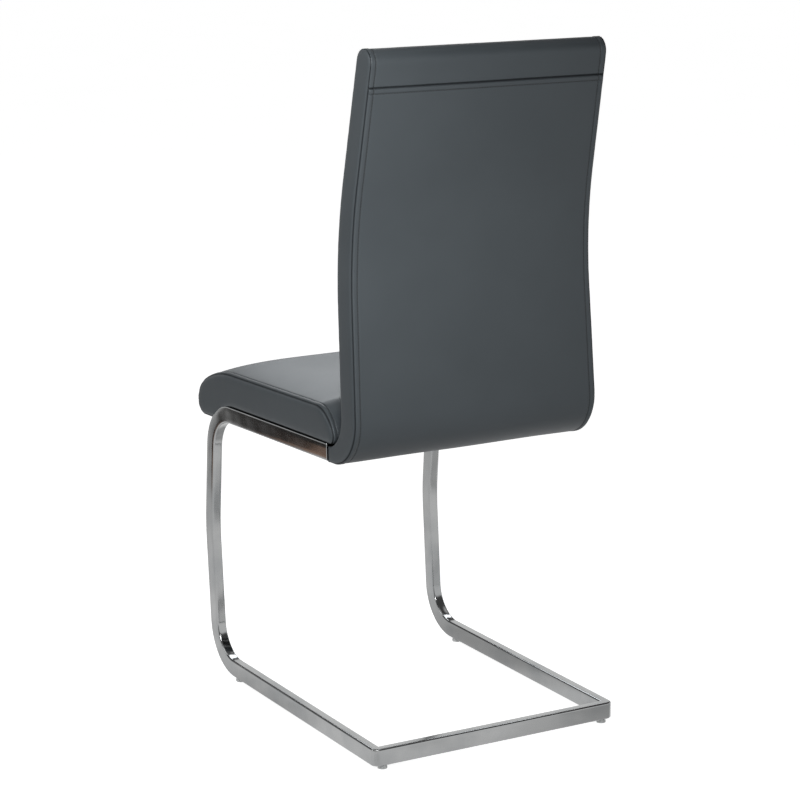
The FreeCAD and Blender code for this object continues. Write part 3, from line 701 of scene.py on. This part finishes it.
def backChains():
    half = back["thickness"] / 2
    lipLow = railPoint(0, tube["depth"] + back["lipDrop"])
    lipHigh = railPoint(0, tube["depth"] + back["lipDrop"] - back["lipThickness"])
    rear = backLine(half, back["heelRadius"], lipLow)
    front = backLine(-half, back["lipInnerRadius"], lipHigh)
    face = railPoint(tube["railEndY"] + back["lipGap"], 0)
    ahead = [(y - face[0]) * math.cos(rise) + (z - face[1]) * math.sin(rise) for y, z in front]
    front = [p for p, a in zip(front, ahead) if a >= 0]
    rearTop, frontTop = rear[-1], front[-1]
    middle = ((rearTop[0] + frontTop[0]) / 2, (rearTop[1] + frontTop[1]) / 2)
    rear = rear[:-1] + arcPoints(middle, half, -back["upperLean"], 90 - back["upperLean"])
    front = front[:-1] + arcPoints(middle, half, 180 - back["upperLean"], 90 - back["upperLean"])
    lipMiddle = ((rear[0][0] + front[0][0]) / 2, (rear[0][1] + front[0][1]) / 2)
    return np.array([lipMiddle] + rear), np.array([lipMiddle] + front)


def slabMiddle(z):
    upper = back["lumbarY"] + (z - back["lumbarZ"]) * math.tan(math.radians(back["upperLean"]))
    lower = back["lumbarY"] + (back["lumbarZ"] - z) * math.tan(math.radians(back["lowerLean"]))
    return np.where(z > back["lumbarZ"], upper, lower)


def backCrown(y, z, share):
    span = back["top"] - back["thickness"] / 2 - back["crownLowZ"]
    swell = share * np.sin(np.pi * np.clip((z - back["crownLowZ"]) / span, 0, 1))
    outwards = np.where(y > slabMiddle(z), back["rearCrown"], -back["frontCrown"])
    return y + outwards * swell, np.broadcast_to(z, share.shape)


def backHalfWidth(z):
    slope = (back["halfWidthLow"] - back["halfWidthHigh"]) / (back["highZ"] - back["lowZ"])
    return back["halfWidthLow"] - slope * (z - back["lowZ"])


def lengthAlong(path):
    return np.concatenate([[0.0], np.cumsum(np.hypot(*np.diff(path, axis=0).T))])


def resample(path, shares):
    run = lengthAlong(path)
    return np.column_stack([np.interp(shares * run[-1], run, path[:, k]) for k in (0, 1)])


def chainShares(length, marks):
    # places along a chain, as shares of its length, closer together about each mark
    fine, reach = cushionGrid["fine"], cushionGrid["fineReach"]
    places = list(np.linspace(0, length, math.ceil(length / cushionGrid["along"]) + 1))
    for mark in marks:
        places = [p for p in places if abs(p - mark) > reach or p in (0, length)]
        places += list(np.arange(mark - reach, mark + reach, fine))
    places = sorted(p for p in places if 0 <= p <= length)
    kept = [0.0]
    for place in places:
        if place - kept[-1] > fine * 0.5:
            kept.append(place)
    kept[-1] = length
    return np.array(kept) / length


def bell(distance, width):
    return np.exp(-(distance / width) ** 2)


def seamHeight(distance, stitchAt):
    rising = np.clip((distance - seam["ridgeFrom"]) / seam["ridgeRise"], 0, 1)
    falling = np.clip((stitchAt - seam["ridgeBeforeStitch"] - distance) / seam["ridgeFall"], 0, 1)
    return (seam["ridge"] * rising * falling - seam["groove"] * bell(distance, seam["grooveWidth"])
            - seam["stitchSink"] * bell(distance - stitchAt, seam["stitchWidth"]))


# painted shade: darkest in the seam groove, with a lighter line at the stitches
def seamPaintedShade(distance, stitchAt):
    atStitch = seam["stitchPaintedShade"] * bell(distance - stitchAt, seam["stitchPaintedShadeWidth"])
    return np.maximum(bell(distance, seam["paintedShadeWidth"]), atStitch)


def seamColumns(stitchAt, halfWidth):
    near = [*seamRows] + [stitchAt + d for d in stitchRows]
    count = math.ceil((halfWidth - near[-1]) / cushionGrid["across"])
    return np.array(near), np.linspace(0, 1, count + 1)[1:]


def wavy(x, y, z, scale, seed):
    return noise.noise(Vector((x * scale + seed, y * scale, z * scale)))


def outlineLoop(chains, marks):
    length = lengthAlong(chains[0])[-1]
    shares = chainShares(length, marks)
    upper, lower = resample(chains[0], shares), resample(chains[1], shares)
    loop = np.vstack([upper, lower[-2:0:-1]])
    tangent = np.roll(loop, -1, axis=0) - np.roll(loop, 1, axis=0)
    area = np.sum(loop[:, 0] * np.roll(loop[:, 1], -1) - loop[:, 1] * np.roll(loop[:, 0], -1))
    normal = np.column_stack([tangent[:, 1], -tangent[:, 0]]) * np.sign(area)
    normal /= np.linalg.norm(normal, axis=1)[:, None]
    run = np.concatenate([shares, 2 - shares[-2:0:-1]]) * length
    return upper, lower, loop, normal, run


def addBand(height, crease, distance, above, stitchAt):
    # the seam across the back, by the distance above it
    inside = np.clip(distance / seam["bandFromSide"], 0, 1)
    height = height + inside * seamHeight(-np.minimum(above, 0.0), stitchAt)
    height = height - inside * seam["groove"] * bell(np.maximum(above, 0.0), seam["bandGrooveWidth"]) * (above > 0)
    # painted shade along the band seam and its stitch line
    atStitch = seam["bandStitchPaintedShade"] * bell(above + stitchAt, seam["bandStitchPaintedShadeWidth"])
    crease = np.maximum(crease, inside * seamPaintedShade(np.abs(above), 1.0))
    return height, np.maximum(crease, inside * atStitch)


def panelPoints(sign, outline, tight, sizes, halfWidthAt, seed):
    # a side panel, as a grid of rungs between the two chains, sunk along its seam and domed inside it
    upper, lower, loop, normal, run = outline
    steps = sidePanel["steps"]
    across = (1 - np.cos(np.pi * np.arange(1, steps) / steps)) / 2
    grid = (upper[:, None, :] + (lower - upper)[:, None, :] * across[None, :, None])[1:-1]
    gaps = np.linalg.norm(grid[:, :, None, :] - loop[None, None, :, :], axis=-1)
    nearest = np.argmin(gaps, axis=2)
    inFrom = np.min(gaps, axis=2)
    shift = seam["groove"] * np.exp(-inFrom / seam["tuckWidth"]) * tight[nearest]
    grid = grid - normal[nearest] * shift[:, :, None]
    swell = sizes["dome"] * (1 - np.exp(-inFrom / sidePanel["domeWidth"]))
    outside = halfWidthAt(grid[:, :, 1]) + swell - seam["tuck"] * shift
    for i, j in np.ndindex(inFrom.shape):
        pucker = wavy(run[nearest[i, j]], inFrom[i, j] * 0.2, sign, 1 / seam["puckerLength"], seed + 4)
        outside[i, j] += seam["pucker"] * pucker * math.exp(-inFrom[i, j] / sidePanel["puckerReach"])
        slack = wavy(grid[i, j, 0], grid[i, j, 1], sign, 1 / sidePanel["sagLength"], seed + 5)
        outside[i, j] += sidePanel["sag"] * slack * min(1.0, inFrom[i, j] / sidePanel["sagFromSeam"])
    points = np.stack([sign * outside, grid[:, :, 0], grid[:, :, 1]], axis=-1)
    # painted shade along the side panel's seam
    crease = bell(inFrom, sidePanel["paintedShadeWidth"]) * tight[nearest]
    return points.reshape(-1, 3), crease.reshape(-1)


def panelFaces(first, edge, rows, size, columns):
    steps = sidePanel["steps"]
    rungs = []
    for i in range(rows):
        start, end = i * columns + edge, (size - i) % size * columns + edge
        inner = [start] * (steps - 1)  # the outline's two ends, where a rung has no length
        if 0 < i < rows - 1:
            inner = [first + (i - 1) * (steps - 1) + j for j in range(steps - 1)]
        rungs.append([start] + inner + [end])
    faces = []
    for lowRung, highRung in zip(rungs, rungs[1:]):
        for j in range(steps):
            corners = [lowRung[j], lowRung[j + 1], highRung[j + 1], highRung[j]]
            unique = [c for k, c in enumerate(corners) if c not in corners[:k]]
            if len(unique) > 2:
                faces.append(tuple(unique))
    return faces


def makeCushion(name, chains, sizes, crown, halfWidthAt, place, marks, band, seed, nodesReplaced):
    outline = outlineLoop(chains, marks)
    upper, lower, loop, normal, run = outline
    rows, size = len(upper), len(loop)
    near, far = seamColumns(sizes["stitchAt"], halfWidthAt(np.array([cushionGrid["acrossAtZ"]]))[0])

    # distances from the seam and places across the width, one row for each point of the loop
    half = halfWidthAt(loop[:, 1])
    rest = half[:, None] - near[-1]
    distance = np.hstack([np.tile(near, (size, 1)), near[-1] + rest * far])
    distance = np.hstack([distance, distance[:, -2::-1]])
    columns = distance.shape[1]
    middle = columns // 2
    side = np.where(np.arange(columns) <= middle, 1.0, -1.0)
    x = side * (half[:, None] - distance)
    x[:, middle] = 0.0
    share = 1 - np.abs(x / half[:, None]) ** sizes["crownPower"]
    y, z = crown(loop[:, :1], loop[:, 1:], share)

    height = seamHeight(distance, sizes["stitchAt"])
    # painted shade in the seam grooves and along the stitch lines, handed to the leather as a point attribute
    crease = seamPaintedShade(distance, sizes["stitchAt"])
    free, tight = np.ones(size), np.ones(size)
    if band is None:  # the seat's underside has no seam
        free = np.clip((normal[:, 1] + 0.75) / 0.3, 0, 1)
    else:  # the lip's front end is wrapped tight against the rail's end, with no seam relief
        above = np.where(np.arange(size) < rows, run - band["at"], 1.0)[:, None]
        height, crease = addBand(height, crease, distance, above, band["stitch"])
        tight = np.clip((np.minimum(run, 2 * run[rows - 1] - run) - band["lip"]) / sizes["lipTaper"], 0, 1)
        crease = crease * tight[:, None]
    for i, j in np.ndindex(distance.shape):
        pucker = wavy(run[i] * side[j], 0.0, distance[i, j] * 0.15, 1 / seam["puckerLength"], seed)
        height[i, j] += seam["pucker"] * pucker * math.exp(-distance[i, j] / seam["puckerReach"])
        slack = wavy(x[i, j], y[i, j], z[i, j], 1 / seam["sagLength"], seed + 9)
        height[i, j] += seam["sag"] * slack * min(1.0, distance[i, j] / seam["sagFromSeam"])
    height = height * (free * tight)[:, None]
    y = y + normal[:, :1] * height
    z = z + normal[:, 1:] * height
    # the leather dives in at the seam
    x = x - side * seam["tuck"] * seam["groove"] * np.exp(-distance / seam["tuckWidth"]) * tight[:, None]
    if band is None:
        under = (loop[:, 1:] < seat["legClearance"] + 0.0003) & (loop[:, :1] > seat["behindLegs"])
        z = np.where(under & (np.abs(x) < seat["betweenRails"]), seat["onBoard"], z)

    vertices = np.stack([x, y, z], axis=-1).reshape(-1, 3)
    paintedShades = crease.reshape(-1)
    faces = []
    for i in range(size):
        a, b = i * columns, (i + 1) % size * columns
        faces += [(a + j, a + j + 1, b + j + 1, b + j) for j in range(columns - 1)]
    for sign, edge in ((1, 0), (-1, columns - 1)):
        points, pointPaintedShades = panelPoints(sign, outline, tight, sizes, halfWidthAt, seed)
        faces += panelFaces(len(vertices), edge, rows, size, columns)
        vertices = np.vstack([vertices, points])
        paintedShades = np.concatenate([paintedShades, pointPaintedShades])
    if place is not None:
        vertices[:, 1], vertices[:, 2] = place(vertices[:, 1], vertices[:, 2])
    piece = addPiece(name, vertices, faces, "leather", paintedShades)
    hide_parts(*nodesReplaced)

    # the lines that the stitches follow
    wrap = vertices[:size * columns].reshape(size, columns, 3)
    column = int(np.argmin(np.abs(near - sizes["stitchAt"])))
    lines = [np.roll(wrap[:, c], -1, axis=0) for c in (column, columns - 1 - column)]
    if band is None:
        lines = [line[np.roll(free > 0.9, -1)] for line in lines]
    else:
        level = int(np.argmin(np.abs(run[:rows] - (band["at"] - band["stitch"]))))
        lines.append(wrap[level, column:columns - column])
    return piece, lines


def seatHalfWidth(z):
    return np.full(np.shape(z), seat["halfWidth"])


seatPiece, seatRows = makeCushion(
    "seatCushion", seatChains(), seat, seatCrown, seatHalfWidth, onRails, [], None, 3.0,
    ["seat_foam", "seat_top_cover", "seat_left_side_cover", "seat_right_side_cover"])
backSides = backChains()
rearRun = lengthAlong(backSides[0])
upperHalf = len(rearRun) // 2
bandAt = float(np.interp(back["bandZ"], backSides[0][upperHalf:, 1], rearRun[upperHalf:]))
lipCorner = float(rearRun[1])
backPiece, backRows = makeCushion(
    "backCushion", backSides, back, backCrown, backHalfWidth, None, [lipCorner, bandAt - 0.004],
    {"at": bandAt, "stitch": back["bandStitch"], "lip": lipCorner}, 17.0,
    ["back_front_foam", "back_rear_foam", "back_front_cover", "back_rear_cover", "back_left_side_cover",
     "back_right_side_cover"])
print("cushions made,", len(seatPiece.data.polygons), "and", len(backPiece.data.polygons), "faces")


# Stitches and staples, set along rows by Geometry Nodes

def rowTree(name, sizes, shape):
    group = bpy.data.node_groups.new(name, "GeometryNodeTree")
    group.interface.new_socket("Geometry", in_out="INPUT", socket_type="NodeSocketGeometry")
    for label, value in sizes.items():
        group.interface.new_socket(label, in_out="INPUT", socket_type="NodeSocketFloat").default_value = value
    group.interface.new_socket("Material", in_out="INPUT", socket_type="NodeSocketMaterial")
    group.interface.new_socket("Geometry", in_out="OUTPUT", socket_type="NodeSocketGeometry")
    maker = NodeMaker(group)
    inputs = group.nodes.new("NodeGroupInput")
    given = {socket.name: Signal(maker, socket) for socket in inputs.outputs if socket.name}
    line = maker.node("GeometryNodeMeshToCurve", None, {"Mesh": given["Geometry"]})
    points = maker.node("GeometryNodeCurveToPoints", {"mode": "LENGTH"}, {"Curve": line, "Length": given["pitch"]})
    turned = Signal(maker, points.socket.node.outputs["Rotation"])
    placed = maker.node("GeometryNodeInstanceOnPoints", None,
                        {"Points": points, "Instance": shape(maker, given), "Rotation": turned})
    solid = maker.node("GeometryNodeRealizeInstances", None, {"Geometry": placed})
    smooth = maker.node("GeometryNodeSetShadeSmooth", None, {"Geometry": solid})
    painted = maker.node("GeometryNodeSetMaterial", None, {"Geometry": smooth, "Material": given["Material"]})
    maker.node("NodeGroupOutput", None, {"Geometry": painted})
    return group


def threadLoop(maker, given):
    bead = maker.node("GeometryNodeMeshUVSphere", None, {"Segments": 7, "Rings": 5, "Radius": 0.5})
    size = maker.node("ShaderNodeCombineXYZ", None,
                      {"X": given["thickness"], "Y": given["thickness"], "Z": given["length"]})
    return maker.node("GeometryNodeTransform", None, {"Geometry": bead, "Scale": size})


def stapleCrown(maker, given):
    end = maker.node("ShaderNodeCombineXYZ", None, {"Z": given["length"]})
    wire = maker.node("GeometryNodeCurvePrimitiveLine", None, {"End": end})
    ring = maker.node("GeometryNodeCurvePrimitiveCircle", None,
                      {"Resolution": 8, "Radius": given["thickness"] * 0.5})
    return maker.node("GeometryNodeCurveToMesh", None, {"Curve": wire, "Profile Curve": ring, "Fill Caps": True})


def alongRows(name, rows, tree, sizes, look):
    mesh = bpy.data.meshes.new(name + "Rows")
    vertices, edges = [], []
    for row in rows:
        first = len(vertices)
        vertices += [tuple(p) for p in row]
        edges += [(first + i, first + i + 1) for i in range(len(row) - 1)]
    mesh.from_pydata(vertices, edges, [])
    carrier = bpy.data.objects.new(name + "Rows", mesh)
    scene.collection.objects.link(carrier)
    modifier = carrier.modifiers.new("rows", "NODES")
    modifier.node_group = tree
    for item in tree.interface.items_tree:
        if item.in_out == "INPUT" and item.name in sizes:
            modifier[item.identifier] = sizes[item.name]
        if item.in_out == "INPUT" and item.name == "Material":
            modifier[item.identifier] = looks[look]
    graph = bpy.context.evaluated_depsgraph_get()
    result = bpy.data.meshes.new_from_object(carrier.evaluated_get(graph), depsgraph=graph)
    result.name = name
    carrier.modifiers.remove(modifier)
    bpy.data.objects.remove(carrier)
    piece = bpy.data.objects.new(name, result)
    scene.collection.objects.link(piece)
    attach(piece, "root")


stitch = {"pitch": 0.0042, "length": 0.0034, "thickness": 0.0008}
stitchTree = rowTree("stitchRow", stitch, threadLoop)
alongRows("seatStitches", seatRows, stitchTree, stitch, "thread")
alongRows("backStitches", backRows, stitchTree, stitch, "thread")

staple = {
    "pitch": 0.055,
    "length": 0.010,
    "thickness": 0.0009,
    "inFromEdge": 0.006,
    "under": 0.0009,
    "fromCorner": 0.03,
}
stapleTree = rowTree("stapleRow", {k: staple[k] for k in ("pitch", "length", "thickness")}, stapleCrown)
clothLow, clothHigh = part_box("seat_dust_cover")


def staplePlace(x, y):
    return (x, *onRails(y, -staple["under"]))


clothFront = clothLow[1] / math.cos(rise) + staple["inFromEdge"]
clothRear = clothHigh[1] / math.cos(rise) - staple["inFromEdge"]
clothSide = clothHigh[0] - staple["inFromEdge"]
acrossCloth = np.linspace(-clothSide, clothSide, 3)
alongCloth = np.linspace(clothFront + staple["fromCorner"], clothRear - staple["fromCorner"], 3)
stapleRows = [[staplePlace(x, y) for x in acrossCloth] for y in (clothFront, clothRear)]
stapleRows += [[staplePlace(x, y) for y in alongCloth] for x in (-clothSide, clothSide)]
alongRows("dustCoverStaples", stapleRows, stapleTree, staple, "zinc_steel")
print("stitches and staples made")


# Studio

studio = {
    "worldLight": 0.24,
    "worldInMetal": 0.90,
    "bandInMetal": ((0.38, 1.0), (0.46, 0.10), (0.86, 0.10), (0.96, 1.0)),  # by the height of the direction
    "leftFrom": 0.35,
    "leftInMetal": 0.25,
    "floorWhite": 0.93,
    "floorLift": 0.84,
    "floorReach": 60.0,
}

# What polished metal sees of the floor, as a glow for glossy rays: white paper with soft patches, dimmer to the left
# front, with painted shadow under the seat, behind the chair and at its rear corner, and a painted reflection of a
# dark room past the paper's edge
paper = {
    "level": 0.88,
    "fades": 0.20,
    "fadesTo": 0.6,
    "patches": 0.5,
    "patchScale": 11.0,
    # painted shadow on the floor's glow: how much darker under the seat and how far it reaches, then painted shade
    # behind the chair and at its rear corner
    "paintedSeatShadow": 0.42,
    "paintedSeatShadowReach": 0.24,
    "behindFrom": 0.28,
    "behindTo": 0.45,
    "behind": 0.09,
    "corner": 0.34,
    "edge": 0.095,
    "edgeSlant": 0.4865,
}
# painted reflection: a dark room with a brown patch, glowing on the floor for glossy rays past the paper's edge
room = {
    "fromX": 0.72,
    "frontOfY": -1.08,
    "nearToX": 1.25,
    "nearToY": -1.6,
    "dark": rgb(0.030, 0.027, 0.025),
    "brown": rgb(0.33, 0.215, 0.16),
    "brownY": -1.335,
    "brownFrom": 0.20,
}

lamps = {
    "keyLamp": {
        "place": (0.72, 1.0, 1.2),
        "target": (0.30, 0.2, 0.78),
        "size": (0.5, 0.5),
        "watts": 2.7,
        "spread": 70,
    },
    "seatCard": {
        "place": (-0.48, -0.80, 0.88),
        "target": (0, 0, 0.50),
        "size": (0.8, 0.30),
        "watts": 2.1,
        "colour": (0.92, 0.965, 1.0),
    },
    "leftLamp": {"place": (2.2, -0.8, 1.6), "target": (0, 0, 0.5), "size": (1.2, 1.2), "watts": 10.0},
    "frontLamp": {"place": (-0.9, -2.2, 2.6), "target": (0, 0, 0.5), "size": (1.2, 1.2), "watts": 5.0},
}


def softStep(maker, signal, middle, width):
    raised = (signal - (middle - width / 2)) * (1 / width)
    return maker.node("ShaderNodeClamp", None, {"Value": raised})


def greyOf(level):
    return rgb(level, level, level)


def makeWorld():
    world = bpy.data.worlds.new("studioWorld")
    scene.world = world
    world.use_nodes = True
    world.node_tree.nodes.clear()
    maker = NodeMaker(world.node_tree)
    camera = maker.node("ShaderNodeLightPath", out="Is Camera Ray")
    glossy = Signal(maker, camera.socket.node.outputs["Is Glossy Ray"])
    direction = maker.node("ShaderNodeTexCoord", out="Generated")
    height = maker.node("ShaderNodeSeparateXYZ", None, {0: direction}, out="Z")
    toLeft = softStep(maker, Signal(maker, height.socket.node.outputs["X"]), studio["leftFrom"], 0.2)
    inMetal = ramp(maker, height, *studio["bandInMetal"]) * studio["worldInMetal"]
    inMetal = inMetal * (1.0 - toLeft * (1 - studio["leftInMetal"]))
    level = glossy * (inMetal - studio["worldLight"]) + studio["worldLight"]
    level = camera * (1.0 - level) + level
    background = maker.node("ShaderNodeBackground", None, {"Color": greyOf(1), "Strength": level})
    maker.node("ShaderNodeOutputWorld", None, {"Surface": background})


def paperColour(maker, place, x, y):
    fade = maker.node("ShaderNodeClamp", None,
                      {"Value": 1.0 - (x * 0.5 - y * 0.86) * paper["fades"], "Min": paper["fadesTo"]})
    fromSeat = maker.node("ShaderNodeVectorMath", {"operation": "ADD"}, {0: place, 1: (0.0, 0.1, 0.0)})
    fromSeat = maker.node("ShaderNodeVectorMath", {"operation": "LENGTH"}, {0: fromSeat}, out="Value")
    # painted shadow of the seat, and painted shade behind the chair and darker at its rear corner
    shaded = 1.0 - softStep(maker, fromSeat, paper["paintedSeatShadowReach"], 0.14)
    behind = softStep(maker, y, paper["behindFrom"], 0.01) * (1.0 - softStep(maker, y, paper["behindTo"], 0.05))
    corner = (1.0 - softStep(maker, x * 0.85 + y * 0.49, 0.06, 0.12)) * behind
    patches = noiseAt(maker, place, paper["patchScale"], 1.0)
    level = fade * (1.0 - shaded * paper["paintedSeatShadow"]) * (1.0 - corner * paper["corner"] - behind * paper["behind"])
    level = level * (patches * paper["patches"] + (1.06 - paper["patches"] / 2))
    return maker.blend(level, greyOf(0), greyOf(paper["level"]))


def floorGlow(maker, place):
    x = maker.node("ShaderNodeSeparateXYZ", None, {0: place}, out="X")
    y = Signal(maker, x.socket.node.outputs["Y"])
    beside = x + y * paper["edgeSlant"]
    # painted reflection of a dark room past the paper's edge
    beyond = softStep(maker, beside, paper["edge"], 0.03) * softStep(maker, x, room["fromX"], 0.06)
    beyond = beyond * (1.0 - softStep(maker, y, room["frontOfY"], 0.1))
    beyond = beyond * (1.0 - softStep(maker, x, room["nearToX"], 0.06) * softStep(maker, y, room["nearToY"], 0.1))
    streaks = noiseAt(maker, place, 9.0, 3.0, (1.0, 0.4, 1.0))
    brown = softStep(maker, y + streaks * 0.08, room["brownY"], 0.05)
    brown = brown * softStep(maker, beside, room["brownFrom"], 0.08)
    past = maker.blend(brown, room["dark"], room["brown"])
    return maker.blend(beyond, paperColour(maker, place, x, y), past)


def makeFloor():
    material, maker, place = newMaterial("studioFloor")
    speck = noiseAt(maker, place, 3.0, 2.0)
    white = maker.blend(speck, greyOf(studio["floorWhite"]), greyOf(studio["floorWhite"] - 0.01))
    diffuse = maker.node("ShaderNodeBsdfDiffuse", None, {"Color": white})
    # painted reflection: glossy rays see the floor's own glow, not the lit paper
    glow = maker.node("ShaderNodeEmission", None, {"Color": floorGlow(maker, place), "Strength": 1.0})
    glossy = maker.node("ShaderNodeLightPath", out="Is Glossy Ray")
    camera = Signal(maker, glossy.socket.node.outputs["Is Camera Ray"])
    lift = maker.node("ShaderNodeEmission", None, {"Color": white, "Strength": camera * studio["floorLift"]})
    lit = maker.node("ShaderNodeAddShader", None, {0: diffuse, 1: lift})
    mixed = maker.node("ShaderNodeMixShader", None, {0: glossy, 1: lit, 2: glow})
    maker.node("ShaderNodeOutputMaterial", None, {"Surface": mixed})
    mesh = bpy.data.meshes.new("studioFloor")
    reach = studio["floorReach"]
    corners = [(-reach, -reach, 0), (reach, -reach, 0), (reach, reach, 0), (-reach, reach, 0)]
    mesh.from_pydata(corners, [], [(0, 1, 2, 3)])
    mesh.materials.append(material)
    floor = bpy.data.objects.new("studioFloor", mesh)
    scene.collection.objects.link(floor)


def addLamp(name, place, target, size, watts, colour=(1, 1, 1), spread=180):
    data = bpy.data.lights.new(name, "AREA")
    data.shape = "RECTANGLE"
    data.size, data.size_y = size
    data.energy = watts
    data.color = colour
    data.spread = math.radians(spread)
    lamp = bpy.data.objects.new(name, data)
    lamp.location = place
    lamp.rotation_euler = (Vector(target) - Vector(place)).to_track_quat("-Z", "Y").to_euler()
    lamp.visible_camera = False
    scene.collection.objects.link(lamp)


makeWorld()
makeFloor()
for name, values in lamps.items():
    addLamp(name, **values)

view = {
    "place": (1.8303, 3.1940, 1.3087),
    "turn": (76.104, 0.0, 149.967),
    "lens": 115.64,
    "shift": (-0.0121, 0.0424),
}
cameraData = bpy.data.cameras.new("photoCamera")
cameraData.lens = view["lens"]
cameraData.sensor_width = 36.0
cameraData.shift_x, cameraData.shift_y = view["shift"]
cameraData.clip_end = 200.0
camera = bpy.data.objects.new("photoCamera", cameraData)
camera.location = view["place"]
camera.rotation_euler = [math.radians(a) for a in view["turn"]]
scene.collection.objects.link(camera)
scene.camera = camera
scene.view_settings.view_transform = "Standard"

bpy.context.view_layer.update()
print("scene ready")
